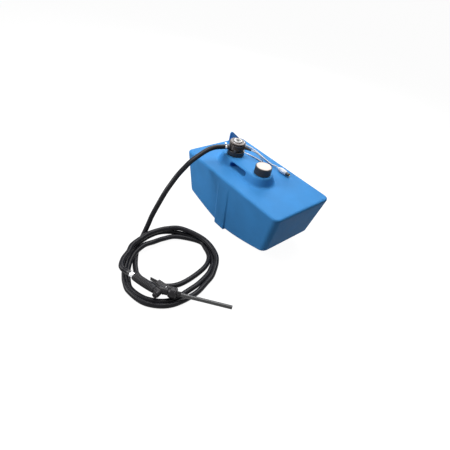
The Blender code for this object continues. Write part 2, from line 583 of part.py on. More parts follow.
body = turned("gun_body", [(0.0, 0.0560), (0.0170, 0.0560), (0.0170, 0.0300), (0.0200, 0.0200),
                           (0.0180, 0.0090), (0.0, 0.0090)], BLACK, SPOUT_START, SPOUT_WAY, 24, gun)
VALVE_AT = Vector((0.138, 0.0, 0.0))
ACROSS = Vector((0, 1, 0))
boolean(body, turned_object("valve_barrel", rod(0.0155, -0.0200, 0.0260), VALVE_AT, ACROSS, 24),
        "UNION", gun)
drill(body, 0.0090, -0.0300, 0.0120, VALVE_AT, ACROSS, 20, gun)
drill(body, 0.0032, 0.0100, 0.0400, VALVE_AT, ACROSS, 12, gun)
drill(body, 0.0070, 0.0200, 0.0700, SPOUT_START, SPOUT_WAY, 16, gun)
drill(body, 0.0070, -0.0100, 0.0300, (0.118, 0.0, 0.0), ALONG, 16, gun)
face_cut = block_object("grip_face", (0.090, -0.030, -0.030), (0.1183, 0.040, 0.030))
boolean(body, face_cut, "DIFFERENCE", gun)
turned("valve_cap", [(0.0, -0.0203), (0.0125, -0.0203), (0.0125, -0.0270), (0.0105, -0.0290),
                     (0.0, -0.0290)], BLACK, VALVE_AT, ACROSS, 20, gun)
turned("valve_stem", [(0.0, 0.0310), (0.0028, 0.0310), (0.0028, 0.0090), (0.0080, 0.0090),
                      (0.0080, 0.0060), (0.0, 0.0060)], BRASS, VALVE_AT, ACROSS, 16, gun)
turned("valve_spring", ring(0.0075, 0.0060, -0.0190, 0.0057), STEEL, VALVE_AT, ACROSS, 14, gun)

head_profile = [(0.0, 0.0960), (0.0200, 0.0960), (0.0240, 0.0920), (0.0245, 0.0680),
                (0.0210, 0.0600), (0.0160, 0.0563), (0.0, 0.0563)]
head = turned("gun_head", head_profile, BLACK, SPOUT_START, SPOUT_WAY, 24, gun)
drill(head, 0.0070, 0.050, 0.100, SPOUT_START, SPOUT_WAY, 16, gun)
turned("spout_nut", ring(0.0125, 0.0093, 0.0963, 0.1130), BLACK, SPOUT_START, SPOUT_WAY, 20, gun)
turned("spout", [(0.0080, 0.3400), (0.0090, 0.3380), (0.0090, 0.0966), (0.0066, 0.0966),
                 (0.0066, 0.3400)], BLACK, SPOUT_START, SPOUT_WAY, 40, gun)

TRIGGER_PIN = Vector((0.150, 0.0345, 0.0))
trigger_points = [(0.1555, 0.0350), (0.1530, 0.0300), (0.1440, 0.0318), (0.1250, 0.0350),
                  (0.1000, 0.0360), (0.0800, 0.0345), (0.0640, 0.0330), (0.0620, 0.0375),
                  (0.0800, 0.0400), (0.1000, 0.0420), (0.1300, 0.0425), (0.1500, 0.0410)]
trigger = place(outline_object("trigger", trigger_points[::-1], 0.018), BLACK, gun)
drill(trigger, 0.0026, -0.02, 0.02, TRIGGER_PIN, UP, 12, gun)
turned("trigger_pin", rod(0.0022, -0.0130, 0.0130), STEEL, TRIGGER_PIN, UP, 12, gun)
for side in (-1, 1):
    lug = block_object("trigger_lug_%d" % (side + 1), (0.1440, 0.0100, 0.0095), (0.1560, 0.0400, 0.0135))
    if side < 0:
        for vert in lug.data.vertices:
            vert.co.z = -vert.co.z
        lug.data.flip_normals()
    boolean(body, lug, "UNION", gun)
drill(body, 0.0022 + 0.0002, -0.02, 0.02, TRIGGER_PIN, UP, 12, gun)
recess = block_object("trigger_recess", (0.100, 0.0265, -0.0093), (0.170, 0.050, 0.0093))
boolean(body, recess, "DIFFERENCE", gun)

HOSE_END = gun_matrix @ Vector((-0.0364, 0.0, 0.0))
END_WAY = (gun_matrix.to_3x3() @ -ALONG).normalized()
END_ROUTE = [HOSE_END,
             HOSE_END + END_WAY * 0.014,
             HOSE_END + END_WAY * 0.028,
             (0.0170, -0.7920, 0.0530),
             (-0.0140, -0.7640, 0.0550),
             (-0.0400, -0.7240, 0.0560)]
cord("hose_end", END_ROUTE, HOSE_RADIUS, BLACK, 3, 1.0)

# -------------------------------------------------- supply lead and its plug
turned("cable_gland", [(0.0, 0.0800), (0.0050, 0.0800), (0.0056, 0.0620), (0.0078, 0.0560),
                       (0.0100, 0.0540), (0.0100, 0.0447), (0.0, 0.0447)], RUBBER,
       GLAND_AT, GLAND_WAY, 16)
LEAD_FROM = GLAND_AT + GLAND_WAY * (0.0800 + GAP)
SHELF = TANK_HEIGHT + 0.002 + LEAD_RADIUS + GAP
PLUG_AT = Vector((0.030, 0.140, TANK_HEIGHT + 0.002 + 0.0125 + GAP))
LEAD_ROUTE = [LEAD_FROM,
              LEAD_FROM + GLAND_WAY * 0.020,
              (-0.040, 0.045, 0.388),
              (-0.030, 0.066, 0.352),
              (-0.035, 0.086, SHELF + 0.006),
              (-0.060, 0.106, SHELF),
              (-0.110, 0.106, SHELF),
              (-0.165, 0.092, SHELF),
              (-0.215, 0.080, SHELF),
              (-0.258, 0.085, SHELF),
              (-0.278, 0.112, SHELF),
              (-0.268, 0.142, SHELF),
              (-0.235, 0.160, SHELF),
              (-0.180, 0.164, SHELF),
              (-0.120, 0.156, SHELF),
              (-0.060, 0.146, SHELF),
              (-0.018, 0.141, SHELF + 0.003),
              (0.010, 0.140, PLUG_AT.z),
              (0.0297, 0.140, PLUG_AT.z)]
cord("power_lead", LEAD_ROUTE, LEAD_RADIUS, LIGHT_GREY, 2, 5.6)
plug = turned("plug_body", [(0.0, 0.0600), (0.0100, 0.0600), (0.0105, 0.0580), (0.0125, 0.0500),
                            (0.0125, 0.0200), (0.0090, 0.0080), (0.0055, 0.0), (0.0, 0.0)],
              LIGHT_GREY, PLUG_AT, ALONG, 20)
drill(plug, 0.0040, 0.030, 0.070, PLUG_AT, ALONG, 12)
nose = turned("plug_nose", [(0.0, 0.0800), (0.0070, 0.0800), (0.0092, 0.0770), (0.0092, 0.0603),
                            (0.0, 0.0603)], BLACK, PLUG_AT, ALONG, 20)
drill(nose, 0.0032, 0.050, 0.090, PLUG_AT, ALONG, 12)
turned("plug_contact", [(0.0, 0.0860), (0.0018, 0.0855), (0.0028, 0.0830), (0.0028, 0.0560),
                        (0.0, 0.0560)], BRASS, PLUG_AT, ALONG, 12)
turned("plug_spring", ring(0.0034, 0.0022, 0.0320, 0.0557), STEEL, PLUG_AT, ALONG, 10)

for obj in list(parts.objects) + list(cutters.objects):
    if obj.type == "MESH":
        obj.data.shade_smooth()
        obj.data.set_sharp_from_angle(angle=math.radians(35))
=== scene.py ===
"""Looks of a portable liquid transfer tank with its drum pump, coiled delivery hose and nozzle.

Metres, +Z up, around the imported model. The tank's length runs along X and its front faces -Y.
"""
import math

import bmesh
import bpy
from mathutils import Matrix, Vector


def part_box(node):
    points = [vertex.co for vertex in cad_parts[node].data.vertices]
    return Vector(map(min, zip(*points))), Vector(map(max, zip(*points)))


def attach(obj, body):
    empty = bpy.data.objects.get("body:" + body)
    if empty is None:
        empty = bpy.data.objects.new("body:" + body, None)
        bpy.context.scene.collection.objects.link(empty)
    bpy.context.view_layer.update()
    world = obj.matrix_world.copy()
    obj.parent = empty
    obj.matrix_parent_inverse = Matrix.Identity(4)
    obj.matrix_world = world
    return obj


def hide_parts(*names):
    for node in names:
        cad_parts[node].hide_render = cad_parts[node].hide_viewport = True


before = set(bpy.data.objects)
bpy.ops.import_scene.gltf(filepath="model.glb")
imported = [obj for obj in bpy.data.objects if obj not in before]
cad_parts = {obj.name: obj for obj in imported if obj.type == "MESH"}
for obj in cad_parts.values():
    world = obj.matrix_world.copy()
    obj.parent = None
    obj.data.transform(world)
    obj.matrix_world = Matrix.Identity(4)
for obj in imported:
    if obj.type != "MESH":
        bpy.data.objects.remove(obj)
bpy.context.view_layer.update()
scene = bpy.context.scene

# ------------------------------------------------------------------- camera
# A view from the front right, looking down on the tank, with a slightly tilted horizon.
# The whole object is in view, so both cords are seen from end to end.
camera = bpy.data.objects.new("camera", bpy.data.cameras.new("camera"))
camera.location = (1.0393, -1.3379, 1.3023)
camera.rotation_euler = [math.radians(turn) for turn in (50.61, -10.28, 49.58)]
camera.data.sensor_width = 36.0
camera.data.lens = 29.13
camera.data.shift_x = -0.0013
camera.data.shift_y = -0.0087
scene.collection.objects.link(camera)
scene.camera = camera
scene.view_settings.view_transform = "Standard"

# ---------------------------------------------------- floor, backdrop, light
# A pale studio floor that runs out to a white backdrop, under soft overhead and front boxes.
# Seen directly or in a reflection the floor is nearly white; the shadow on it stays soft.
FLOOR_REACH = 60.0
FLOOR_SHADE = 0.12
FLOOR_GLOW = 0.97


def seen_ray(nodes, links):
    """One where a camera, mirror or glass ray looks, and zero for diffuse light."""
    ray = nodes.new("ShaderNodeLightPath")
    total = ray.outputs["Is Camera Ray"]
    for kind in ("Is Glossy Ray", "Is Transmission Ray"):
        add = nodes.new("ShaderNodeMath")
        add.operation = "MAXIMUM"
        links.new(total, add.inputs[0])
        links.new(ray.outputs[kind], add.inputs[1])
        total = add.outputs[0]
    return total


floor_mesh = bpy.data.meshes.new("floor")
bm = bmesh.new()
bmesh.ops.create_grid(bm, x_segments=2, y_segments=2, size=FLOOR_REACH)
bm.to_mesh(floor_mesh)
bm.free()
floor = bpy.data.objects.new("floor", floor_mesh)
scene.collection.objects.link(floor)
floor_paint = bpy.data.materials.new("floor_paint")
floor_paint.use_nodes = True
nodes = floor_paint.node_tree.nodes
links = floor_paint.node_tree.links
nodes.clear()
output = nodes.new("ShaderNodeOutputMaterial")
bounce = nodes.new("ShaderNodeBsdfDiffuse")
bounce.inputs["Color"].default_value = (0.45, 0.45, 0.45, 1.0)
shade = nodes.new("ShaderNodeBsdfDiffuse")
shade.inputs["Color"].default_value = (FLOOR_SHADE, FLOOR_SHADE, FLOOR_SHADE, 1.0)
glow = nodes.new("ShaderNodeEmission")
glow.inputs["Strength"].default_value = FLOOR_GLOW
white = nodes.new("ShaderNodeAddShader")
links.new(shade.outputs[0], white.inputs[0])
links.new(glow.outputs[0], white.inputs[1])
choose = nodes.new("ShaderNodeMixShader")
links.new(seen_ray(nodes, links), choose.inputs["Fac"])
links.new(bounce.outputs[0], choose.inputs[1])
links.new(white.outputs[0], choose.inputs[2])
links.new(choose.outputs[0], output.inputs["Surface"])
floor_mesh.materials.append(floor_paint)

world = bpy.data.worlds.new("studio")
world.use_nodes = True
scene.world = world
nodes = world.node_tree.nodes
links = world.node_tree.links
air = nodes["Background"]
air.inputs["Strength"].default_value = 0.16
backdrop = nodes.new("ShaderNodeBackground")
backdrop.inputs["Color"].default_value = (1.0, 1.0, 1.0, 1.0)
choose = nodes.new("ShaderNodeMixShader")
links.new(seen_ray(nodes, links), choose.inputs["Fac"])
links.new(air.outputs[0], choose.inputs[1])
links.new(backdrop.outputs[0], choose.inputs[2])
links.new(choose.outputs[0], nodes["World Output"].inputs["Surface"])


def softbox(name, at, size, power):
    """A square studio light aimed at the tank."""
    lamp = bpy.data.lights.new(name, "AREA")
    lamp.size = size
    lamp.energy = power
    box = bpy.data.objects.new(name, lamp)
    box.location = at
    box.rotation_euler = (Vector((0.0, -0.2, 0.15)) - Vector(at)).to_track_quat("-Z", "Y").to_euler()
    scene.collection.objects.link(box)


softbox("front_left_box", (-1.3, -2.2, 1.7), 1.4, 60.0)
softbox("overhead_box", (-0.3, 0.4, 2.6), 1.8, 62.0)
softbox("rear_box", (-1.7, 1.9, 2.0), 1.6, 48.0)

# ------------------------------------------------------------ delivery hose
# Black rubber fuel hose with a fine cloth-wrapped skin. It is pushed onto the pump's outlet,
# droops over the tank's front edge to the ground and lies there in three loose turns.
HOSE_RADIUS = 0.0125
COIL_CENTRE = Vector((0.097, -0.583, 0.0))
COIL_SQUEEZE = 0.86
OUTLET_WAY = Vector((-0.35, -0.937, 0.0)).normalized()
OUTLET_AXIS = Vector((-0.150, -0.030, 0.4025))
HOSE_FROM = OUTLET_AXIS + OUTLET_WAY * 0.0583
HOSE_DROOP = [(-0.190, -0.150, 0.4025), (-0.1905, -0.200, 0.396), (-0.179, -0.264, 0.384),
              (-0.170, -0.317, 0.368), (-0.1625, -0.3585, 0.346), (-0.156, -0.398, 0.320),
              (-0.150, -0.435, 0.286), (-0.147, -0.467, 0.248), (-0.144, -0.498, 0.202),
              (-0.1385, -0.541, 0.134), (-0.135, -0.562, 0.090), (-0.128, -0.585, 0.052),
              (-0.116, -0.611, 0.024), (-0.092, -0.641, 0.0145)]
# Each turn: angle in degrees round the coil, distance from its centre, height of the hose.
HOSE_TURNS = [(205, 0.2035, 0.013), (222, 0.177, 0.013), (242, 0.164, 0.013), (262, 0.160, 0.013),
              (290, 0.150, 0.013), (321, 0.143, 0.013), (347, 0.143, 0.013), (380, 0.145, 0.013),
              (412, 0.180, 0.013), (432, 0.207, 0.013), (450, 0.220, 0.013), (468, 0.234, 0.013),
              (500, 0.218, 0.018), (520, 0.195, 0.026), (539, 0.178, 0.036), (555, 0.184, 0.040),
              (572, 0.1885, 0.036), (586, 0.1924, 0.028), (600, 0.1965, 0.020), (612, 0.201, 0.016),
              (622, 0.2083, 0.014), (640, 0.227, 0.013), (665, 0.236, 0.013), (690, 0.233, 0.013),
              (720, 0.198, 0.013), (742, 0.197, 0.013), (765, 0.209, 0.013), (790, 0.224, 0.013),
              (826, 0.2475, 0.013), (860, 0.2505, 0.018), (880, 0.243, 0.034), (897, 0.230, 0.040),
              (915, 0.2185, 0.040), (930, 0.211, 0.038), (948, 0.2085, 0.032), (965, 0.213, 0.020),
              (975, 0.2185, 0.015), (986, 0.2267, 0.013), (1001, 0.240, 0.013), (1026, 0.258, 0.013),
              (1051, 0.259, 0.013), (1079, 0.236, 0.013), (1102, 0.2235, 0.013), (1119, 0.229, 0.020),
              (1146, 0.2365, 0.036), (1180, 0.238, 0.040), (1215, 0.254, 0.046), (1235, 0.241, 0.056),
              (1257, 0.223, 0.064), (1272, 0.2135, 0.066), (1290, 0.216, 0.064)]
HOSE_TO_NOZZLE = [(-0.040, -0.724, 0.056), (-0.014, -0.764, 0.055), (0.017, -0.792, 0.053),
                  (0.0386, -0.7958, 0.0525), (0.0519, -0.7915, 0.0525), (0.0653, -0.7872, 0.0525)]


def surface(name, colour, roughness, metallic=0.0, patch=20.0, variation=0.12, grain=1500.0,
            relief=0.00005, wave=0.0, worn=0.0, gleam=0.5):
    """A finish whose colour, gloss and relief change over the piece at a real scale.

    patch and grain are how many colour patches and grains there are to a metre, relief and wave
    the heights of the grain and of the slow unevenness, worn how much paler the edges are, and
    gleam how strongly the surface reflects.
    """
    made = bpy.data.materials.new(name)
    made.use_nodes = True
    nodes = made.node_tree.nodes
    links = made.node_tree.links
    shader = nodes["Principled BSDF"]
    shader.inputs["Metallic"].default_value = metallic
    where = nodes.new("ShaderNodeTexCoord")

    def noise(scale, detail):
        cloud = nodes.new("ShaderNodeTexNoise")
        cloud.inputs["Scale"].default_value = scale
        cloud.inputs["Detail"].default_value = detail
        links.new(where.outputs["Object"], cloud.inputs["Vector"])
        return cloud.outputs["Fac"]

    patches = noise(patch, 4.0)
    tone = nodes.new("ShaderNodeValToRGB")
    tone.color_ramp.elements[0].position = 0.3
    tone.color_ramp.elements[1].position = 0.7
    tone.color_ramp.elements[0].color = (*[c * (1 - variation) for c in colour], 1.0)
    tone.color_ramp.elements[1].color = (*[min(1.0, c * (1 + variation)) for c in colour], 1.0)
    links.new(patches, tone.inputs["Fac"])
    skin = tone.outputs["Color"]
    if worn:
        edge = nodes.new("ShaderNodeNewGeometry")
        rub = nodes.new("ShaderNodeMapRange")
        rub.inputs["From Min"].default_value = 0.52
        rub.inputs["From Max"].default_value = 0.62
        rub.inputs["To Max"].default_value = worn
        links.new(edge.outputs["Pointiness"], rub.inputs["Value"])
        rubbed = nodes.new("ShaderNodeMix")
        rubbed.data_type = "RGBA"
        rubbed.inputs["B"].default_value = (*[min(1.0, 0.12 + c * 1.8) for c in colour], 1.0)
        links.new(rub.outputs["Result"], rubbed.inputs["Factor"])
        links.new(skin, rubbed.inputs["A"])
        skin = rubbed.outputs["Result"]
    links.new(skin, shader.inputs["Base Color"])
    shader.inputs["Specular IOR Level"].default_value = gleam
    gloss = nodes.new("ShaderNodeMapRange")
    gloss.inputs["To Min"].default_value = roughness * 0.85
    gloss.inputs["To Max"].default_value = min(1.0, roughness * 1.15)
    links.new(patches, gloss.inputs["Value"])
    links.new(gloss.outputs["Result"], shader.inputs["Roughness"])
    fine = nodes.new("ShaderNodeBump")
    fine.inputs["Distance"].default_value = relief
    links.new(noise(grain, 2.0), fine.inputs["Height"])
    if wave:
        slow = nodes.new("ShaderNodeBump")
        slow.inputs["Distance"].default_value = wave
        links.new(noise(patch, 1.0), slow.inputs["Height"])
        links.new(slow.outputs["Normal"], fine.inputs["Normal"])
    links.new(fine.outputs["Normal"], shader.inputs["Normal"])
    return made


def round_line(name, spots, radius, finish, roundness):
    """A round wire or tube that runs straight from spot to spot."""
    line = bpy.data.curves.new(name, "CURVE")
    line.dimensions = "3D"
    line.bevel_depth = radius
    line.bevel_resolution = roundness
    line.use_fill_caps = True
    spline = line.splines.new("POLY")
    spline.points.add(len(spots) - 1)
    for point, spot in zip(spline.points, spots):
        point.co = (*spot, 1.0)
    spline.use_smooth = True
    line.materials.append(finish)
    piece = bpy.data.objects.new(name, line)
    scene.collection.objects.link(piece)
    return piece


def flexible(name, route, radius, finish, floor=None):
    """A hose or lead drawn as one smooth curve through its route, never below the floor it lies on."""
    knots = [Vector(spot) for spot in route]
    ends = [knots[0] * 2 - knots[1]] + knots + [knots[-1] * 2 - knots[-2]]
    smooth = []
    for before, start, stop, after in zip(ends, ends[1:], ends[2:], ends[3:]):
        for step in range(8):
            t = step / 8
            spot = (start * 2 + (stop - before) * t + (before * 2 - start * 5 + stop * 4 - after) * t ** 2
                    + (start * 3 - before - stop * 3 + after) * t ** 3) / 2
            smooth.append(spot)
    smooth.append(knots[-1])
    if floor is not None:
        for spot in smooth:
            spot.z = max(spot.z, floor + radius)
    return round_line(name, smooth, radius, finish, 8)


hose_rubber = surface("hose_rubber", (0.0085, 0.0085, 0.0115), 0.32, gleam=0.15, variation=0.25,
                      patch=30.0, grain=900.0, relief=0.00012)
hose_route = [HOSE_FROM, HOSE_FROM + OUTLET_WAY * 0.012, HOSE_FROM + OUTLET_WAY * 0.024] + HOSE_DROOP
for angle, reach, height in HOSE_TURNS:
    turn = math.radians(angle)
    spoke = Vector((COIL_SQUEEZE * math.cos(turn), math.sin(turn), 0.0)) * reach
    hose_route.append(COIL_CENTRE + spoke + Vector((0.0, 0.0, height)))
hose_route += HOSE_TO_NOZZLE
hose = flexible("delivery_hose", hose_route, HOSE_RADIUS, hose_rubber, floor=0.0005)
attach(hose, "tank")
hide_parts("hose_lead", "hose_coil", "hose_end")

# -------------------------------------------------------------- supply lead
# Light grey two-core lead in a round PVC sheath. It leaves the pump's gland, drops behind the
# dome onto the tank's top, makes one long loop there and comes back to its plug.
LEAD_RADIUS = 0.0035
SHELF = 0.317 + LEAD_RADIUS + 0.0003
PLUG_START = Vector((0.030, 0.140, 0.3298))
GLAND_WAY = Vector((0.86, 0.50, -0.10)).normalized()
GLAND_AXIS = Vector((-0.150, -0.030, 0.4155))
LEAD_FROM = GLAND_AXIS + GLAND_WAY * 0.0803
LEAD_ROUTE = [LEAD_FROM, LEAD_FROM + GLAND_WAY * 0.020, (-0.040, 0.045, 0.388), (-0.030, 0.066, 0.352),
              (-0.035, 0.086, SHELF + 0.006), (-0.060, 0.106, SHELF), (-0.110, 0.106, SHELF),
              (-0.165, 0.092, SHELF), (-0.215, 0.080, SHELF), (-0.258, 0.085, SHELF),
              (-0.278, 0.112, SHELF), (-0.268, 0.142, SHELF), (-0.235, 0.160, SHELF),
              (-0.180, 0.164, SHELF), (-0.120, 0.156, SHELF), (-0.060, 0.146, SHELF),
              (-0.018, 0.141, SHELF + 0.003), (0.010, 0.140, PLUG_START.z), (0.0297, 0.140, PLUG_START.z)]
lead_sheath = surface("lead_sheath", (0.55, 0.56, 0.58), 0.45, patch=60.0, variation=0.08,
                      grain=2500.0, relief=0.00003)
lead = flexible("supply_lead", LEAD_ROUTE, LEAD_RADIUS, lead_sheath)
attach(lead, "tank")
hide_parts("power_lead")

# --------------------------------------------------------------- tank shell
# Rotationally moulded blue polyethylene: drafted walls, a rocker bottom with a foot band, and a
# raised dome for both necks. Every edge is soft and the skin has the mould's slight orange peel.
TANK_LENGTH = 0.700
TANK_WIDTH = 0.414
TANK_HEIGHT = 0.315
TANK_LIFT = 0.002
WALL = 0.005
END_RISE = 0.075
END_INSET = 0.039
SIDE_DRAFT = 0.038
PLAN_RADIUS = 0.034
EDGE_RADIUS = 0.014
BAND_LOW = Vector((-0.063, -0.204, 0.0))
BAND_HIGH = Vector((0.015, 0.204, 0.280))
BAND_FOOT = 0.178
DOME_CENTRE = Vector((-0.051, -0.030, TANK_HEIGHT))
DOME_RUN = 0.104
DOME_TOP = 0.360
DOME_PROFILE = [(0.0, 0.045), (0.054, 0.045), (0.059, 0.0442), (0.062, 0.041), (0.067, 0.032),
                (0.077, 0.010), (0.080, 0.0055), (0.084, 0.0025), (0.091, 0.0005), (0.091, -0.004),
                (0.0, -0.004)]
PUMP_AXIS = Vector((-0.150, -0.030, 0.0))
CAP_AXIS = Vector((0.060, -0.030, 0.0))
NECK_RADIUS = 0.0385
NECK_BORE = 0.030
NECK_TOP = 0.376
HOLD_CENTRE = Vector((-0.048, -0.030, 0.336))
HOLD_RUN = 0.046
HOLD_RADIUS = 0.013
UP = Vector((0.0, 0.0, 1.0))


def made_of(name, bm):
    """An object in the scene from finished mesh work."""
    bmesh.ops.recalc_face_normals(bm, faces=bm.faces)
    mesh = bpy.data.meshes.new(name)
    bm.to_mesh(mesh)
    bm.free()
    piece = bpy.data.objects.new(name, mesh)
    scene.collection.objects.link(piece)
    return piece


def lathed(name, profile, at=(0.0, 0.0, 0.0), way=UP, steps=96, soft=0.0):
    """A profile of (radius, height) pairs turned about an axis, with its corners rounded off."""
    closed = profile[0][0] > 0 and profile[-1][0] > 0
    points = [Vector(pair) for pair in profile]
    outline = []
    for index, corner in enumerate(points):
        inner = closed or 0 < index < len(points) - 1
        before = points[index - 1] - corner
        after = points[(index + 1) % len(points)] - corner
        cut = min(soft, before.length * 0.45, after.length * 0.45) if inner else 0.0
        if cut < 0.00005:
            outline.append(corner)
            continue
        start = corner + before.normalized() * cut
        end = corner + after.normalized() * cut
        for share in (0.0, 0.33, 0.67, 1.0):
            outline.append(start * (1 - share) ** 2 + corner * 2 * share * (1 - share) + end * share ** 2)
    bm = bmesh.new()
    verts = [bm.verts.new((pair.x, 0.0, pair.y)) for pair in outline]
    edges = [bm.edges.new(pair) for pair in zip(verts, verts[1:])]
    if closed:
        edges.append(bm.edges.new((verts[-1], verts[0])))
    bmesh.ops.spin(bm, geom=verts + edges, axis=UP, cent=(0, 0, 0), steps=steps, angle=math.tau)
    bmesh.ops.remove_doubles(bm, verts=bm.verts, dist=0.00001)
    piece = made_of(name, bm)
    turn = UP.rotation_difference(Vector(way)).to_matrix().to_4x4()
    piece.matrix_world = Matrix.Translation(Vector(at)) @ turn
    return piece


def rod(radius, low, high):
    """The outline of a plain round bar, or of the hole that one leaves."""
    return [(0.0, high), (radius, high), (radius, low), (0.0, low)]


def box(name, low, high, at=None):
    """A block between two corners, in its own frame if a matrix is given."""
    bm = bmesh.new()
    bmesh.ops.create_cube(bm, size=1.0)
    middle = (Vector(low) + Vector(high)) / 2
    size = Matrix.Diagonal((*(Vector(high) - Vector(low)), 1.0))
    bmesh.ops.transform(bm, matrix=Matrix.Translation(middle) @ size, verts=bm.verts)
    piece = made_of(name, bm)
    if at is not None:
        piece.matrix_world = at
    return piece


def settle(piece):
    """Make a piece's modifiers part of its mesh."""
    bpy.context.view_layer.update()
    shape = piece.evaluated_get(bpy.context.evaluated_depsgraph_get())
    mesh = bpy.data.meshes.new_from_object(shape)
    piece.modifiers.clear()
    piece.data = mesh
    return piece


def combine(piece, others, operation="UNION"):
    """Join solids to a piece, or cut them out of it."""
    for other in others:
        step = piece.modifiers.new(operation.lower(), "BOOLEAN")
        step.operation = operation
        step.solver = "EXACT"
        step.object = other
    settle(piece)
    for other in others:
        bpy.data.objects.remove(other)
    return piece


def melt(piece, voxel, passes):
    """Flow a joined solid into one skin with soft inner and outer corners."""
    skin = piece.modifiers.new("skin", "REMESH")
    skin.mode = "VOXEL"
    skin.voxel_size = voxel
    ease = piece.modifiers.new("ease", "SMOOTH")
    ease.factor = 0.5
    ease.iterations = passes
    return settle(piece)


def fitted(piece, finish, body, slot, *nodes, crease=35.0):
    """Give a finished piece its material and the body, and hide the CAD nodes it stands for; slot is not
    used.
    """
    piece.data.materials.clear()
    piece.data.materials.append(finish)
    piece.data.shade_smooth()
    piece.data.set_sharp_from_angle(angle=math.radians(crease))
    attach(piece, body)
    if nodes:
        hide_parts(*nodes)
    return piece


def eased(inset, depth):
    """Move a point of a square edge onto a quarter round."""
    if inset >= EDGE_RADIUS or depth >= EDGE_RADIUS:
        return inset, depth
    way = Vector((inset - EDGE_RADIUS, depth - EDGE_RADIUS)).normalized() * EDGE_RADIUS
    return EDGE_RADIUS + way.x, EDGE_RADIUS + way.y


def tank_solid(name, inset):
    """The drafted, rounded tank form with its rocker bottom, set in from the outer skin."""
    half = Vector((TANK_LENGTH / 2 - inset, TANK_WIDTH / 2 - inset))
    height = TANK_HEIGHT - 2 * inset
    share = [1 - math.tan(math.pi / 4 * step / 5) for step in range(1, 5)] + [1.0]
    edge_cuts = [EDGE_RADIUS * part for part in share]
    side_cuts = edge_cuts + [PLAN_RADIUS * part for part in share]
    x_cuts = [side * (half.x - cut) for cut in side_cuts for side in (-1, 1)]
    x_cuts += [half.x * step / 16 for step in range(-13, 14)]
    y_cuts = [side * (half.y - cut) for cut in side_cuts for side in (-1, 1)] + [0.0]
    z_cuts = edge_cuts + [height - cut for cut in edge_cuts]
    z_cuts += [height * step / 6 for step in range(1, 6)]
    bm = bmesh.new()
    bmesh.ops.create_cube(bm, size=2.0)
    bmesh.ops.scale(bm, vec=(half.x, half.y, height / 2), verts=bm.verts)
    bmesh.ops.translate(bm, vec=(0, 0, height / 2), verts=bm.verts)
    for way, cuts in ((Vector((1, 0, 0)), x_cuts), (Vector((0, 1, 0)), y_cuts), (UP, z_cuts)):
        for cut in cuts:
            everything = bm.verts[:] + bm.edges[:] + bm.faces[:]
            bmesh.ops.bisect_plane(bm, geom=everything, plane_co=way * cut, plane_no=way)
    for vert in bm.verts:
        x, y, z = vert.co
        side = min(half.x - abs(x), half.y - abs(y))
        new_side, new_depth = eased(side, min(z, height - z))
        if side < half.y - 0.000001:
            x *= (half.x - new_side) / (half.x - side)
            y *= (half.y - new_side) / (half.y - side)
        z = new_depth if z < height / 2 else height - new_depth
        core_x = max(-half.x + PLAN_RADIUS, min(half.x - PLAN_RADIUS, x))
        core_y = max(-half.y + PLAN_RADIUS, min(half.y - PLAN_RADIUS, y))
        out = Vector((x - core_x, y - core_y))
        if min(abs(out.x), abs(out.y)) > 0.000001:
            out = out.normalized() * max(abs(out.x), abs(out.y))
            x = core_x + out.x
            y = core_y + out.y
        z = inset + z + END_RISE * abs(x / half.x) ** 1.5 * (1 - z / height)
        drop = (TANK_HEIGHT - z) / TANK_HEIGHT
        x *= 1 - END_INSET / (TANK_LENGTH / 2) * drop * TANK_HEIGHT / (TANK_HEIGHT - END_RISE)
        y *= 1 - SIDE_DRAFT / (TANK_WIDTH / 2) * drop
        vert.co = (x, y, z + TANK_LIFT)
    return made_of(name, bm)


def drawn_out(piece, run):
    """Part a turned form in the middle and draw its halves out along X."""
    for vert in piece.data.vertices:
        if abs(vert.co.x) > 0.000001:
            vert.co.x += math.copysign(run, vert.co.x)


dome = lathed("dome", DOME_PROFILE, DOME_CENTRE, steps=70)
drawn_out(dome, DOME_RUN)
band = box("band", BAND_LOW, BAND_HIGH)
for corner in band.data.vertices:
    if corner.co.z < 0.01:
        corner.co.y = math.copysign(BAND_FOOT, corner.co.y)
necks = [lathed("neck", rod(NECK_RADIUS, DOME_TOP - 0.01, NECK_TOP), axis, steps=64)
         for axis in (PUMP_AXIS, CAP_AXIS)]
hold = lathed("hold", rod(HOLD_RADIUS, -0.15, 0.15), steps=50)
drawn_out(hold, HOLD_RUN)
hold.matrix_world = Matrix.Translation(HOLD_CENTRE) @ Matrix.Rotation(math.pi / 2, 4, "X")
tank = tank_solid("tank_skin", 0.0)
combine(tank, [dome, band])
combine(tank, [hold], "DIFFERENCE")
melt(tank, 0.0032, 7)
combine(tank, necks)
bores = [lathed("bore", rod(NECK_BORE, 0.29, 0.40), axis, steps=64) for axis in (PUMP_AXIS, CAP_AXIS)]
combine(tank, [tank_solid("hollow", WALL)] + bores, "DIFFERENCE")
tank_polyethylene = surface("tank_polyethylene", (0.045, 0.225, 0.530), 0.55, gleam=0.06, patch=9.0,
                            variation=0.06, grain=520.0, relief=0.00018, wave=0.0012)
fitted(tank, tank_polyethylene, "tank", "blue_polyethylene", "tank_shell", crease=50.0)

# -------------------------------------------------------------- nozzle hook
# Blue moulded bracket at the tank's rear left corner. The nozzle's trigger guard drops over its
# fin for transport. Three black round-headed screws hold its foot plate to the tank.
hook_low, hook_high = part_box("nozzle_hook")
PLATE_THICK = 0.004
FIN_THICK = 0.006
FIN_OUTLINE = [(0.0, 0.0), (0.078, 0.0), (0.078, 0.008), (0.018, 0.056), (0.008, 0.058), (0.0, 0.050)]


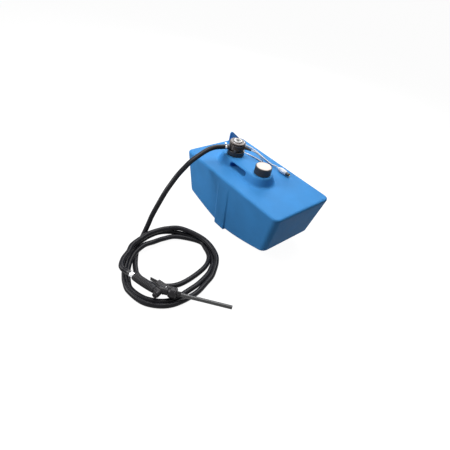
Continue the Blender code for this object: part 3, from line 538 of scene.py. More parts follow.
def plate(name, outline, thickness, at=None, soft=0.0):
    """A flat piece from its outline in XY, with rounded edges."""
    bm = bmesh.new()
    face = bm.faces.new([bm.verts.new((x, y, -thickness / 2)) for x, y in outline])
    grown = bmesh.ops.extrude_face_region(bm, geom=[face])
    raised = [item for item in grown["geom"] if isinstance(item, bmesh.types.BMVert)]
    bmesh.ops.translate(bm, vec=(0, 0, thickness), verts=raised)
    piece = made_of(name, bm)
    if at is not None:
        piece.matrix_world = at
    if soft:
        rounded(piece, soft)
    return piece


def rounded(piece, width, segments=3):
    """Round a piece's sharp edges."""
    step = piece.modifiers.new("edges", "BEVEL")
    step.width = width
    step.segments = segments
    step.limit_method = "ANGLE"
    return settle(piece)


hook = box("nozzle_bracket", hook_low, (hook_high.x, hook_high.y, hook_low.z + PLATE_THICK))
fin_spot = Vector((hook_low.x + 0.0045, hook_low.y, hook_low.z + PLATE_THICK - 0.001))
UPRIGHT = Matrix.Rotation(math.pi / 2, 4, "X")
fin_frame = Matrix.Translation(fin_spot) @ Matrix.Rotation(math.pi / 2, 4, "Z") @ UPRIGHT
fin = plate("fin", FIN_OUTLINE, FIN_THICK, fin_frame)
gusset_frame = Matrix.Translation(fin_spot + Vector((0.0, 0.036, 0.0))) @ UPRIGHT
gusset = plate("gusset", [(0.0, 0.0), (0.014, 0.0), (0.0, 0.026)], 0.004, gusset_frame)
combine(hook, [fin, gusset])
rounded(hook, 0.0009)
bracket_blue = surface("bracket_polyethylene", (0.060, 0.250, 0.560), 0.42, gleam=0.3, patch=40.0,
                       variation=0.06, grain=900.0, relief=0.0001)
fitted(hook, bracket_blue, "tank", "blue_polyethylene", "nozzle_hook")
black_screw = surface("blackened_screw", (0.018, 0.018, 0.020), 0.34, metallic=0.6, patch=300.0,
                      grain=3000.0, relief=0.00003, worn=0.3)


def turned_size(node):
    """The radius, the height and the underside's level of a turned CAD node."""
    low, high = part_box(node)
    return (high.x - low.x) / 2, high.z - low.z, low.z


def cross_screw(node, head, finish, slot):
    """A domed screw head with a cross recess, in place of its plain CAD head."""
    radius, rise, base = turned_size(node)
    low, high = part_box(node)
    middle = (low + high) / 2
    piece = lathed(head, [(0.0, rise), (radius * 0.45, rise), (radius * 0.8, rise * 0.72),
                          (radius, rise * 0.3), (radius, 0.0), (0.0, 0.0)],
                   (middle.x, middle.y, base), steps=40, soft=0.0006)
    reach = radius * 0.55
    slim = radius * 0.12
    arms = []
    for long_x, long_y in ((reach, slim), (slim, reach)):
        arms.append(box("arm", (middle.x - long_x, middle.y - long_y, high.z - rise * 0.45),
                        (middle.x + long_x, middle.y + long_y, high.z + 0.001)))
    combine(piece, arms, "DIFFERENCE")
    fitted(piece, finish, "tank", slot, node)


for number in (1, 2, 3):
    cross_screw("hook_screw_%d" % number, "bracket_screw_%d" % number, black_screw, "black_plastic")

# --------------------------------------------------------------- filler cap
# Black polypropylene screw cap with a fine-ribbed skirt and a disc pressed into its top; the disc's pale
# beige is a painted reflection of the sky.
# A rubber ring under it seals on the neck's rim. It screws off, so it rides on its own body.
CAP_RADIUS, cap_top, cap_base = turned_size("filler_cap")
seal_rise, seal_base = turned_size("cap_seal")[1:]
disc_radius, disc_rise, disc_base = turned_size("cap_top_disc")
CLEARANCE = 0.0003
CAP_RIBS = 60
CAP_RIB_DEPTH = 0.0007


def gripped(piece, ribs, depth, low, high, least):
    """Press upright grip ribs into a turned skirt between two heights."""
    for vert in piece.data.vertices:
        reach = math.hypot(vert.co.x, vert.co.y)
        if reach > least and low < vert.co.z < high:
            turn = math.atan2(vert.co.y, vert.co.x)
            sink = depth * (0.5 + 0.5 * math.cos(ribs * turn)) ** 2
            vert.co.x *= 1 - sink / reach
            vert.co.y *= 1 - sink / reach
    return piece


skirt_steps = [0.0045, 0.006, 0.0075, cap_top - 0.0095, cap_top - 0.008, cap_top - 0.0065]
cap_outline = [(CAP_RADIUS - 0.004, cap_top), (CAP_RADIUS - 0.0009, cap_top - 0.0012),
               (CAP_RADIUS, cap_top - 0.004)]
cap_outline += [(CAP_RADIUS, height) for height in reversed(skirt_steps)]
seal_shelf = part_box("cap_seal")[1].z + CLEARANCE - cap_base
cap_outline += [(CAP_RADIUS, 0.0), (NECK_RADIUS + 0.001, 0.0), (NECK_RADIUS + 0.001, seal_shelf),
                (0.0, seal_shelf), (0.0, cap_top - 0.005), (CAP_RADIUS - 0.004, cap_top - 0.005)]
cap = lathed("screw_cap", cap_outline, CAP_AXIS + UP * cap_base, steps=360, soft=0.0007)
gripped(cap, CAP_RIBS, CAP_RIB_DEPTH, 0.005, cap_top - 0.007, CAP_RADIUS - 0.001)
cap_black = surface("cap_polypropylene", (0.016, 0.016, 0.018), 0.40, patch=60.0, variation=0.2,
                    grain=1800.0, relief=0.00004, worn=0.25)
fitted(cap, cap_black, "filler_cap", "black_plastic", "filler_cap")
disc = lathed("cap_disc", [(0.0, disc_rise - 0.0006), (0.009, disc_rise - 0.0006), (0.010, disc_rise - 0.001),
                           (0.011, disc_rise - 0.0006), (disc_radius - 0.008, disc_rise - 0.0006),
                           (disc_radius - 0.006, disc_rise), (disc_radius - 0.0027, disc_rise),
                           (disc_radius, disc_rise - 0.0015), (disc_radius, 0.0), (0.0, 0.0)],
              CAP_AXIS + UP * disc_base, soft=0.0005)
# The disc's pale beige is painted reflection: it stands in for the sky's sheen on the cap's shiny black top.
disc_sky_reflection_paint = surface("disc_sky_reflection_paint", (0.56, 0.47, 0.42), 0.46, patch=70.0, variation=0.07, grain=1500.0,
                     relief=0.00004)
fitted(disc, disc_sky_reflection_paint, "filler_cap", "beige_plastic", "cap_top_disc")
seal = lathed("neck_seal", [(NECK_RADIUS - 0.0005, seal_rise), (NECK_RADIUS - 0.0005, 0.0),
                            (NECK_BORE - 0.004, 0.0), (NECK_BORE - 0.004, seal_rise)],
              CAP_AXIS + UP * seal_base, soft=0.0009)
seal_rubber = surface("seal_rubber", (0.020, 0.020, 0.021), 0.62, patch=80.0, variation=0.2, grain=1600.0,
                      relief=0.00006)
fitted(seal, seal_rubber, "cap_liner", "black_rubber", "cap_seal")

# ------------------------------------------------------------ pump mounting
# The pump's cast flange is clamped on the neck by a black ribbed ring nut over a rubber gasket.
# A grey suction tube hangs from it into the tank, with a perforated foot strainer at its end.
nut_radius, nut_rise, nut_base = turned_size("pump_ring_nut")
flange_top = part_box("pump_flange")[1].z
nut_shelf = flange_top + CLEARANCE - nut_base
nut_outline = [(0.0335, nut_rise), (nut_radius - 0.002, nut_rise), (nut_radius, nut_rise - 0.002)]
nut_outline += [(nut_radius, height) for height in (nut_rise - 0.004, nut_rise - 0.0055, 0.005, 0.0035)]
nut_outline += [(nut_radius, 0.0), (NECK_RADIUS + 0.0008, 0.0), (NECK_RADIUS + 0.0008, nut_shelf),
                (0.0335, nut_shelf)]
nut = lathed("ring_nut", nut_outline, PUMP_AXIS + UP * nut_base, steps=324, soft=0.0006)
gripped(nut, 36, 0.0011, 0.004, nut_rise - 0.0045, nut_radius - 0.0015)
nut_black = surface("nut_polyamide", (0.015, 0.015, 0.017), 0.33, patch=60.0, variation=0.2, grain=1500.0,
                    relief=0.00005, worn=0.3)
fitted(nut, nut_black, "tank", "black_plastic", "pump_ring_nut")


def refinished(finish, *nodes):
    """Give CAD nodes that keep their own shape a full finish."""
    for node in nodes:
        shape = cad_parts[node]
        for slot in shape.material_slots:
            slot.material = finish


pump_casting = surface("pump_casting", (0.060, 0.048, 0.042), 0.40, metallic=0.35, patch=90.0, variation=0.3,
                       grain=1100.0, relief=0.00012, worn=0.5)
refinished(pump_casting, "pump_flange", "motor_end_plate")
refinished(seal_rubber, "flange_gasket", "shaft_seal", "foot_valve_disc")
tube_grey = surface("suction_tube_grey", (0.52, 0.53, 0.55), 0.42, patch=30.0, variation=0.1, grain=1400.0,
                    relief=0.00004)
refinished(tube_grey, "suction_tube")
strainer_black = surface("strainer_black", (0.020, 0.020, 0.022), 0.5, patch=90.0, variation=0.2,
                         grain=1500.0, relief=0.00006)
refinished(strainer_black, "foot_strainer")

# -------------------------------------------------------------- motor inside
# The direct-current motor and the vane pump below it share one steel shaft in two bearings.
# Wound armature, magnet can, rotor and vanes keep their machined shapes, with real metal finishes.
ground_steel = surface("ground_steel", (0.52, 0.52, 0.54), 0.26, metallic=1.0, patch=200.0, variation=0.1,
                       grain=2600.0, relief=0.00003)
copper_wire = surface("enamelled_copper", (0.52, 0.20, 0.08), 0.34, metallic=1.0, patch=400.0, variation=0.25,
                      grain=2200.0, relief=0.00015)
vane_black = surface("vane_composite", (0.03, 0.03, 0.032), 0.5, patch=200.0, variation=0.2, grain=2500.0,
                     relief=0.00004)
refinished(ground_steel, "motor_shaft", "vane_rotor", "bearing_upper", "bearing_lower", "motor_stator")
refinished(copper_wire, "motor_armature")
refinished(vane_black, "vane_1", "vane_2", "vane_3", "switch_body")

# ------------------------------------------------------------- pump housing
# Dark brown-grey die casting with cooling fins round the motor and three upright bolt bosses.
# It is cast hollow: a motor bore from the top, a vane chamber below and ports to both sides.
drum_low, drum_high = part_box("pump_housing")
drum_radius = (drum_high.x - drum_low.x) / 2
DRUM_TOP = drum_high.z
DRUM_BASE = 0.3935
FIN_COUNT = 5
FIN_ZONE = (DRUM_BASE + 0.0055, DRUM_TOP - 0.0055)
fin_pitch = (FIN_ZONE[1] - FIN_ZONE[0]) / FIN_COUNT
drum_outline = [(0.0, DRUM_TOP), (drum_radius, DRUM_TOP)]
for index in range(FIN_COUNT, 0, -1):
    fin_top = FIN_ZONE[0] + fin_pitch * index
    drum_outline += [(drum_radius, fin_top), (drum_radius - 0.0028, fin_top - fin_pitch * 0.12),
                     (drum_radius - 0.0028, fin_top - fin_pitch * 0.48),
                     (drum_radius, fin_top - fin_pitch * 0.6)]
drum_outline += [(drum_radius, DRUM_BASE + 0.004), (drum_radius - 0.004, DRUM_BASE),
                 (0.032, DRUM_BASE - 0.003), (0.032, drum_low.z), (0.0, drum_low.z)]
housing = lathed("pump_casting", drum_outline, PUMP_AXIS, soft=0.0006)
BOSS_RADIUS = 0.0045
bosses = []
for third in range(3):
    turn = math.tau / 3 * third + math.pi / 4
    spot = PUMP_AXIS + Vector((math.cos(turn), math.sin(turn), 0.0)) * (drum_radius - BOSS_RADIUS)
    bosses.append(lathed("boss", [(0.0, DRUM_TOP), (BOSS_RADIUS, DRUM_TOP), (BOSS_RADIUS, DRUM_BASE + 0.004),
                                  (0.0, DRUM_BASE + 0.001)], spot, steps=24))
combine(housing, bosses)
rotor_low, rotor_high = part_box("vane_rotor")
chamber_low = rotor_low.z - 0.0005
chamber_high = rotor_high.z + 0.0005
motor_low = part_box("motor_stator")[0].z - CLEARANCE


def drilled(radius, low, high, at, way=UP):
    """The round solid that a drill takes out."""
    return lathed("bore", rod(radius, low, high), at, way, 48)


RELIEF_WAY = Vector((0.60, -0.80, 0.0))
RELIEF_AT = PUMP_AXIS + UP * (chamber_low + 0.0092)
combine(housing, [drilled(0.0245, chamber_low, chamber_high, PUMP_AXIS + Vector((0.002, 0.0, 0.0))),
                  drilled(0.0365, motor_low, DRUM_TOP + 0.01, PUMP_AXIS),
                  drilled(0.0100, chamber_high - 0.002, motor_low + 0.002, PUMP_AXIS),
                  drilled(0.0050, 0.0165, 0.060, OUTLET_AXIS, OUTLET_WAY),
                  drilled(0.0050, 0.0200, 0.060, RELIEF_AT, RELIEF_WAY),
                  drilled(0.0042, 0.0300, 0.060, GLAND_AXIS, GLAND_WAY)], "DIFFERENCE")
fitted(housing, pump_casting, "tank", "charcoal_casting", "pump_housing", crease=28.0)

# --------------------------------------------------------- cover and switch
# A cast cover with a shallow ring groove closes the motor bore under three steel screws. In its middle a
# light grey bezel holds the black rotary on-off knob, which turns a quarter turn.
cover_radius, cover_rise, cover_base = turned_size("pump_cover")
bezel_radius, bezel_rise, bezel_base = turned_size("switch_ring")
knob_low, knob_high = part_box("power_knob")
cover = lathed("motor_cover", [(0.0, cover_rise), (0.0245, cover_rise), (0.0255, cover_rise - 0.001),
                               (0.0275, cover_rise - 0.001), (0.0285, cover_rise),
                               (cover_radius - 0.003, cover_rise), (cover_radius, cover_rise - 0.0025),
                               (cover_radius, 0.0), (0.0, 0.0)],
               PUMP_AXIS + UP * cover_base, soft=0.0007)
shaft_hole = drilled(0.0033, cover_base - 0.002, cover_base + cover_rise + 0.002, PUMP_AXIS)
combine(cover, [shaft_hole], "DIFFERENCE")
fitted(cover, pump_casting, "tank", "charcoal_casting", "pump_cover")
bright_screw = surface("zinc_screw", (0.60, 0.60, 0.62), 0.28, metallic=1.0, patch=400.0, variation=0.12,
                       grain=3000.0, relief=0.00003)
for number in (1, 2, 3):
    cross_screw("cover_screw_%d" % number, "motor_screw_%d" % number, bright_screw, "stainless_steel")
bezel = lathed("switch_bezel", [(0.0150, bezel_rise), (bezel_radius - 0.0020, bezel_rise),
                                (bezel_radius, bezel_rise - 0.003), (bezel_radius, 0.0), (0.0150, 0.0)],
               PUMP_AXIS + UP * bezel_base, soft=0.0010)
bezel_grey = surface("bezel_grey", (0.60, 0.60, 0.60), 0.40, patch=120.0, variation=0.08, grain=2000.0,
                     relief=0.00003)
fitted(bezel, bezel_grey, "tank", "light_grey_plastic", "switch_ring")
KNOB_TURN = math.radians(-35)
knob_rise = knob_high.z - bezel_base
knob_foot = knob_low.z - bezel_base
knob = lathed("rotary_knob", [(0.0, knob_rise - 0.0045), (0.0140, knob_rise - 0.0045),
                              (0.0145, knob_rise - 0.0055), (0.0145, 0.0004), (0.0030, 0.0004),
                              (0.0030, knob_foot), (0.0, knob_foot)],
              PUMP_AXIS + UP * bezel_base, soft=0.0006)
knob_frame = Matrix.Translation(PUMP_AXIS + UP * knob_high.z) @ Matrix.Rotation(KNOB_TURN, 4, "Z")
BAR_THICK = 0.0052
bar = plate("bar", [(-0.0130, -0.0022), (-0.0105, -0.0032), (0.0095, -0.0032), (0.0135, 0.0),
                    (0.0095, 0.0032), (-0.0105, 0.0032), (-0.0130, 0.0022)], BAR_THICK,
            knob_frame @ Matrix.Translation((0, 0, -BAR_THICK / 2)), 0.0007)
pointer = box("pointer", (0.004, -0.0005, -0.0003), (0.012, 0.0005, 0.001), knob_frame)
combine(knob, [bar])
combine(knob, [pointer], "DIFFERENCE")
knob_black = surface("knob_black", (0.015, 0.015, 0.016), 0.36, patch=120.0, variation=0.2, grain=2000.0,
                     relief=0.00004, worn=0.25)
fitted(knob, knob_black, "power_knob", "black_plastic", "power_knob")

# ------------------------------------------------------------- relief valve
# When the nozzle shuts, liquid passes this spring-loaded brass poppet back to the inlet side.
# A black hexagon plug screwed into the casting holds the spring.
turned_brass = surface("turned_brass", (0.58, 0.40, 0.14), 0.26, metallic=1.0, patch=250.0, variation=0.15,
                       grain=2600.0, relief=0.00003)
spring_steel = surface("spring_steel", (0.42, 0.42, 0.44), 0.30, metallic=1.0, patch=400.0, variation=0.15,
                       grain=3000.0, relief=0.00002)


def coil_spring(name, node, radius, wire, low, high, turns, at, way, parent_frame=None):
    """A wire spring wound along an axis, in place of its plain CAD sleeve."""
    count = turns * 20
    spots = []
    for step in range(count + 1):
        turn = math.tau * turns * step / count
        rise = low + wire + (high - low - 2 * wire) * step / count
        spots.append((radius * math.cos(turn), radius * math.sin(turn), rise))
    piece = round_line(name, spots, wire, spring_steel, 3)
    stand = Matrix.Translation(Vector(at)) @ UP.rotation_difference(Vector(way)).to_matrix().to_4x4()
    piece.matrix_world = parent_frame @ stand if parent_frame else stand
    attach(piece, "tank")
    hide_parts(node)
    return piece


coil_spring("relief_coil", "relief_spring", 0.0037, 0.0005, 0.0243, 0.0385, 6, RELIEF_AT, RELIEF_WAY)
refinished(turned_brass, "relief_poppet")
relief_plug = lathed("relief_hexagon", [(0.0, 0.0500), (0.0064, 0.0500), (0.0075, 0.0492), (0.0075, 0.0434),
                                        (0.0046, 0.0434), (0.0046, 0.0388), (0.0, 0.0388)],
                     RELIEF_AT, RELIEF_WAY, 6)
fitted(relief_plug, nut_black, "tank", "black_plastic", "relief_plug", crease=20.0)

# ---------------------------------------------------- outlet and hose clamp
# The black outlet port screws into the housing. A stainless worm-drive clamp tightens the hose
# on it; its band has rolled edges, and its screw housing stands on top.
port = lathed("outlet_elbow", [(0.0125, 0.0580), (0.0125, 0.0490), (0.0137, 0.0480), (0.0137, 0.0434),
                               (0.0075, 0.0434), (0.0075, 0.0580)], OUTLET_AXIS, OUTLET_WAY, soft=0.0005)
fitted(port, nut_black, "tank", "black_plastic", "outlet_port")
BAND_START = 0.0620
BAND_END = 0.0720
SCREW_RISE = 0.0061
band_radius = HOSE_RADIUS + 0.0005
clamp = lathed("clamp_band", [(band_radius + 0.0011, BAND_START), (band_radius + 0.0003, BAND_START + 0.0009),
                              (band_radius + 0.0003, BAND_END - 0.0009), (band_radius + 0.0011, BAND_END),
                              (band_radius + 0.0016, BAND_END - 0.0003),
                              (band_radius + 0.0010, BAND_END - 0.0015),
                              (band_radius + 0.0010, BAND_START + 0.0015),
                              (band_radius + 0.0016, BAND_START + 0.0003)], OUTLET_AXIS, OUTLET_WAY, 120)
clamp_side = OUTLET_WAY.cross(UP).normalized()
screw_spot = OUTLET_AXIS + OUTLET_WAY * (BAND_START + BAND_END) / 2 + UP * (HOSE_RADIUS + SCREW_RISE)
house_frame = Matrix.Translation(screw_spot) @ Matrix((clamp_side, OUTLET_WAY, UP)).transposed().to_4x4()
screw_house = box("house", (-0.0062, -0.0042, -0.0052), (0.0030, 0.0042, 0.0034), house_frame)
rounded(screw_house, 0.0013)
combine(screw_house, [lathed("bore", rod(0.0029, -0.02, 0.02), screw_spot, clamp_side, 32)], "DIFFERENCE")
combine(clamp, [screw_house])
band_steel = surface("band_steel", (0.62, 0.63, 0.65), 0.22, metallic=1.0, patch=200.0, variation=0.1,
                     grain=2400.0, relief=0.00004)
fitted(clamp, band_steel, "tank", "stainless_steel", "hose_clamp")
worm = lathed("clamp_worm", [(0.0, 0.0090), (0.0038, 0.0090), (0.0038, 0.0042), (0.0026, 0.0036)]
              + [(0.0019 + 0.0007 * (step % 2), 0.0030 - step * 0.0009) for step in range(12)]
              + [(0.0024, -0.0080), (0.0, -0.0080)], screw_spot, clamp_side, 36)
worm_slot = box("slot", (-0.0005, -0.005, 0.0075), (0.0005, 0.005, 0.0100), worm.matrix_world.copy())
combine(worm, [worm_slot], "DIFFERENCE")
fitted(worm, bright_screw, "tank", "stainless_steel", "clamp_screw")

# ----------------------------------------------------- gland and supply plug
# The lead's moulded rubber relief is slit into rings so that it bends evenly. The plug fits a
# vehicle socket: grey body with a grip waist, black nose, two side springs and a sprung tip.
gland_outline = [(0.0100, 0.0447), (0.0100, 0.0530), (0.0085, 0.0545)]
for step in range(9):
    start = 0.0556 + step * 0.0027
    reach = 0.0080 - step * 0.00028
    gland_outline += [(reach, start), (reach, start + 0.0016), (reach - 0.0012, start + 0.0018),
                      (reach - 0.0012, start + 0.0025)]
gland_outline += [(0.0052, 0.0800)]
gland = lathed("lead_relief", [(0.0, 0.0447)] + gland_outline + [(0.0, 0.0800)], GLAND_AXIS, GLAND_WAY, 64)
fitted(gland, seal_rubber, "tank", "black_rubber", "cable_gland", crease=25.0)
ALONG = Vector((1.0, 0.0, 0.0))
plug_outline = [(0.0, 0.0), (0.0053, 0.0), (0.0058, 0.0016), (0.0088, 0.0080)]
for step in range(5):
    start = 0.0095 + step * 0.0022
    reach = 0.0092 + step * 0.0006
    plug_outline += [(reach, start), (reach + 0.0004, start + 0.0008), (reach, start + 0.0016)]
plug_outline += [(0.0125, 0.0225), (0.0125, 0.0490), (0.0120, 0.0515), (0.0105, 0.0580), (0.0100, 0.0600),
                 (0.0040, 0.0600), (0.0040, 0.0300), (0.0, 0.0300)]
plug_body = lathed("plug_shell", plug_outline, PLUG_START, ALONG, 72)
SPRING_STRIP = [(0.030, 0.0110), (0.034, 0.0128), (0.042, 0.0134), (0.050, 0.0122), (0.054, 0.0095)]
plug_grey = surface("plug_grey", (0.62, 0.63, 0.65), 0.38, patch=90.0, variation=0.07, grain=1800.0,
                    relief=0.00003)
fitted(plug_body, plug_grey, "tank", "light_grey_plastic", "plug_body", crease=25.0)
for side in (-1, 1):
    outline = [(x, side * (y - 0.0012)) for x, y in SPRING_STRIP]
    outline += [(x, side * y) for x, y in reversed(SPRING_STRIP)]
    strip = plate("side_contact_%s" % ("left" if side < 0 else "right"), outline, 0.0036,
                  Matrix.Translation(PLUG_START), 0.0002)
    fitted(strip, band_steel, "tank", "stainless_steel")
plug_nose = lathed("plug_tip", [(0.0032, 0.0800), (0.0068, 0.0800), (0.0088, 0.0775), (0.0092, 0.0760),
                                (0.0092, 0.0680), (0.0087, 0.0675), (0.0087, 0.0660), (0.0092, 0.0655),
                                (0.0092, 0.0603), (0.0032, 0.0603)], PLUG_START, ALONG, 72, soft=0.0003)
fitted(plug_nose, nut_black, "tank", "black_plastic", "plug_nose")
plug_pin = lathed("centre_contact", [(0.0, 0.0860), (0.0012, 0.0858), (0.0022, 0.0848), (0.0028, 0.0830),
                                     (0.0028, 0.0560), (0.0, 0.0560)], PLUG_START, ALONG, 40)
fitted(plug_pin, turned_brass, "plug_contact", "brass", "plug_contact")
coil_spring("contact_coil", "plug_spring", 0.0029, 0.0004, 0.0320, 0.0557, 9, PLUG_START, ALONG)

# ------------------------------------------------------------ nozzle, swivel
# The trigger nozzle lies on its side on the coil. Its tail is a swivel in two halves: the black
# rear half turns with the hose, the chromed front half is screwed into the grip.
GUN_START = Vector((0.0999, -0.776, 0.0525))
GUN_FRAME = Matrix.Translation(GUN_START) @ Matrix.Rotation(math.radians(17.9), 4, "Z")
SPOUT_TURN = math.radians(22.5)
SPOUT_FRAME = GUN_FRAME @ Matrix.Translation((0.115, 0.006, 0.0)) @ Matrix.Rotation(SPOUT_TURN, 4, "Z")
TO_X = Matrix.Rotation(math.pi / 2, 4, "Y")
TO_Y = Matrix.Rotation(-math.pi / 2, 4, "X")


def on_gun(name, profile, frame_matrix, turn=TO_X, steps=96, soft=0.0):
    """A form turned along the nozzle's grip, spout, valve or pin axis."""
    piece = lathed(name, profile, steps=steps, soft=soft)
    piece.matrix_world = frame_matrix @ turn
    return piece


bright_plate = surface("bright_plate", (0.78, 0.79, 0.81), 0.13, metallic=1.0, patch=160.0, variation=0.05,
                       grain=1600.0, relief=0.00002)
swivel_front = on_gun("swivel_front", [(0.0140, -0.0180), (0.0140, -0.0130), (0.0128, -0.0120),
                                       (0.0128, -0.0095), (0.0140, -0.0085), (0.0140, -0.0003),
                                       (0.0080, -0.0003), (0.0080, -0.0180)], GUN_FRAME, soft=0.0006)
fitted(swivel_front, bright_plate, "tank", "bright_chrome", "swivel_body")
swivel_rear = on_gun("swivel_rear", [(0.0125, -0.0183), (0.0135, -0.0200), (0.0135, -0.0360),
                                     (0.0080, -0.0360), (0.0080, -0.0183)], GUN_FRAME, soft=0.0005)
flats = []
for sixth in range(6):
    flat = box("flat", (0.0123, -0.02, -0.0345), (0.02, 0.02, -0.0235),
               GUN_FRAME @ TO_X @ Matrix.Rotation(math.tau / 6 * sixth, 4, "Z"))
    flats.append(flat)
combine(swivel_rear, flats, "DIFFERENCE")
fitted(swivel_rear, nut_black, "swivel_tail", "black_plastic", "swivel_tail", crease=25.0)

# -------------------------------------------------------------- nozzle grip
# A black rubber sleeve over the casting's tail, with broad finger rings and a flare at each end.
GRIP_LENGTH = 0.118
GRIP_RINGS = 13
grip_outline = [(0.0, 0.0), (0.0150, 0.0), (0.0172, 0.0030), (0.0180, 0.0070)]
for step in range(GRIP_RINGS):
    start = 0.0110 + step * 0.0074
    reach = 0.0185 + 0.0015 * math.sin(math.pi * (step + 0.5) / GRIP_RINGS)
    grip_outline += [(reach - 0.0011, start), (reach, start + 0.0012), (reach, start + 0.0050),
                     (reach - 0.0011, start + 0.0062)]
grip_outline += [(0.0180, 0.1090), (0.0176, 0.1160), (0.0165, GRIP_LENGTH), (0.0, GRIP_LENGTH)]
grip = on_gun("grip_sleeve", grip_outline, GUN_FRAME, steps=80, soft=0.0005)
combine(grip, [on_gun("bore", rod(0.0080, -0.01, 0.13), GUN_FRAME, steps=40)], "DIFFERENCE")
grip_rubber = surface("grip_rubber", (0.010, 0.0095, 0.012), 0.42, gleam=0.25, patch=60.0,
                      variation=0.25, grain=1100.0, relief=0.0001, worn=0.2)
fitted(grip, grip_rubber, "tank", "black_plastic", "grip")

# -------------------------------------------------------------- nozzle body
# Dark painted casting: the valve barrel crosses it, with a screwed cap on one side and the stem
# on the other. Two lugs carry the trigger's pin, and the passage runs on into the spout.
VALVE_FRAME = GUN_FRAME @ Matrix.Translation((0.138, 0.0, 0.0))
body = on_gun("nozzle_casting", [(0.0, 0.0560), (0.0168, 0.0560), (0.0168, 0.0300), (0.0190, 0.0200),
                                 (0.0176, 0.0090), (0.0, 0.0090)], SPOUT_FRAME, steps=64)
barrel = on_gun("barrel", rod(0.0152, -0.0200, 0.0260), VALVE_FRAME, TO_Y, 64)
rear = on_gun("rear", [(0.0, 0.140), (0.0160, 0.140), (0.0165, 0.1187), (0.0, 0.1187)], GUN_FRAME, steps=64)
combine(body, [barrel, rear])
combine(body, [box("face", (0.090, -0.030, -0.030), (0.1187, 0.040, 0.030), GUN_FRAME.copy())], "DIFFERENCE")
melt(body, 0.0010, 6)
lugs = []
for low, high in ((0.0096, 0.0133), (-0.0133, -0.0096)):
    lug_frame = GUN_FRAME @ Matrix.Translation((0, 0, (low + high) / 2))
    lugs.append(plate("lug", [(0.1440, 0.0080), (0.1560, 0.0080), (0.1560, 0.0370), (0.1535, 0.0398),
                              (0.1465, 0.0398), (0.1440, 0.0370)], high - low, lug_frame, 0.0007))
combine(body, lugs)
pin_frame = GUN_FRAME @ Matrix.Translation((0.150, 0.0345, 0.0))
still = Matrix.Identity(4)
combine(body, [on_gun("bore", rod(0.0090, -0.0300, 0.0120), VALVE_FRAME, TO_Y, 48),
               on_gun("bore", rod(0.0032, 0.0100, 0.0400), VALVE_FRAME, TO_Y, 32),
               on_gun("bore", rod(0.0070, 0.0200, 0.0700), SPOUT_FRAME, steps=40),
               on_gun("bore", rod(0.0070, 0.108, 0.148), GUN_FRAME, steps=40),
               on_gun("bore", rod(0.0024, -0.02, 0.02), pin_frame, still, 32),
               box("recess", (0.100, 0.0265, -0.0093), (0.170, 0.050, 0.0093), GUN_FRAME.copy())],
        "DIFFERENCE")
nozzle_casting = surface("nozzle_paint", (0.009, 0.008, 0.010), 0.34, gleam=0.3, metallic=0.2,
                         patch=80.0, variation=0.3, grain=1300.0, relief=0.00008, worn=0.35)
fitted(body, nozzle_casting, "tank", "black_plastic", "gun_body", crease=40.0)
valve_cap = on_gun("valve_cap_knurled", [(0.0, -0.0203), (0.0125, -0.0203), (0.0125, -0.0222),
                                         (0.0125, -0.0252), (0.0125, -0.0270), (0.0105, -0.0290),
                                         (0.0050, -0.0290), (0.0045, -0.0275), (0.0, -0.0275)],
                   VALVE_FRAME, TO_Y, 216, 0.0005)
gripped(valve_cap, 24, 0.0008, -0.0265, -0.0208, 0.0118)
fitted(valve_cap, nozzle_casting, "tank", "black_plastic", "valve_cap")
stem = on_gun("valve_plunger", [(0.0, 0.0310), (0.0016, 0.0308), (0.0028, 0.0296), (0.0028, 0.0090),
                                (0.0080, 0.0090), (0.0080, 0.0060), (0.0, 0.0060)],
              VALVE_FRAME, TO_Y, 48, 0.0003)
fitted(stem, turned_brass, "valve_stem", "brass", "valve_stem")
coil_spring("valve_coil", "valve_spring", 0.0067, 0.0007, -0.0190, 0.0057, 6, (0, 0, 0), (0, 1, 0),
            VALVE_FRAME)

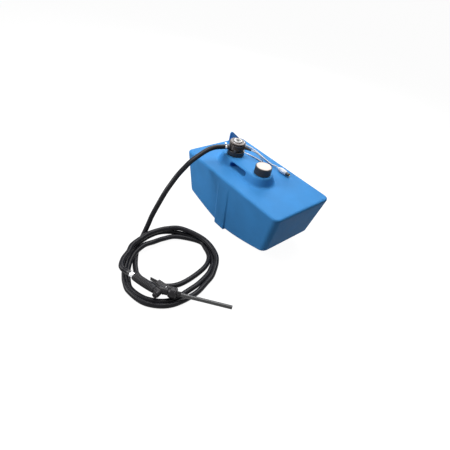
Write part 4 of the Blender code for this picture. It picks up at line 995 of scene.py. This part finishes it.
# ------------------------------------------------------------------ trigger
# A pressed lever along the grip. It turns on a steel pin between the lugs and pushes the stem in.
TRIGGER_OUTER = [(0.0620, 0.0375), (0.0710, 0.0388), (0.0800, 0.0400), (0.0900, 0.0412), (0.1000, 0.0420),
                 (0.1150, 0.0424), (0.1300, 0.0425), (0.1420, 0.0420), (0.1500, 0.0410), (0.1545, 0.0385)]
TRIGGER_INNER = [(0.1555, 0.0350), (0.1530, 0.0300), (0.1440, 0.0318), (0.1340, 0.0336), (0.1250, 0.0350),
                 (0.1120, 0.0358), (0.1000, 0.0360), (0.0900, 0.0354), (0.0800, 0.0345), (0.0640, 0.0330)]
trigger = plate("trigger_lever", TRIGGER_OUTER + TRIGGER_INNER, 0.018, GUN_FRAME.copy(), 0.0010)
combine(trigger, [on_gun("bore", rod(0.0026, -0.02, 0.02), pin_frame, still, 32)], "DIFFERENCE")
fitted(trigger, nozzle_casting, "trigger", "black_plastic", "trigger", crease=25.0)
pin = on_gun("lever_pin", rod(0.0022, -0.0130, 0.0130), pin_frame, still, 32, 0.0005)
fitted(pin, ground_steel, "tank", "stainless_steel", "trigger_pin")

# ----------------------------------------------------------- head and spout
# A thick collar with a turned waist joins the casting to the spout. A knurled nut holds the
# spout, a black drawn tube that keeps its plain shape and gets a worn lacquer.
head = on_gun("nozzle_collar", [(0.0070, 0.0960), (0.0200, 0.0960), (0.0240, 0.0930), (0.0245, 0.0880),
                                (0.0238, 0.0872), (0.0238, 0.0850), (0.0245, 0.0842), (0.0245, 0.0680),
                                (0.0210, 0.0600), (0.0160, 0.0563), (0.0070, 0.0563)],
              SPOUT_FRAME, soft=0.0012)
fitted(head, nozzle_casting, "tank", "black_plastic", "gun_head")
spout_nut = on_gun("spout_ring_nut", [(0.0093, 0.1130), (0.0108, 0.1130), (0.0125, 0.1115), (0.0125, 0.1095),
                                      (0.0125, 0.0990), (0.0125, 0.0963), (0.0093, 0.0963)],
                   SPOUT_FRAME, steps=216, soft=0.0004)
gripped(spout_nut, 24, 0.0009, 0.0975, 0.1105, 0.0118)
fitted(spout_nut, nozzle_casting, "tank", "black_plastic", "spout_nut")
spout_black = surface("spout_black", (0.013, 0.013, 0.014), 0.34, patch=50.0, variation=0.25, grain=1600.0,
                      relief=0.00004, worn=0.2)
refinished(spout_black, "spout")
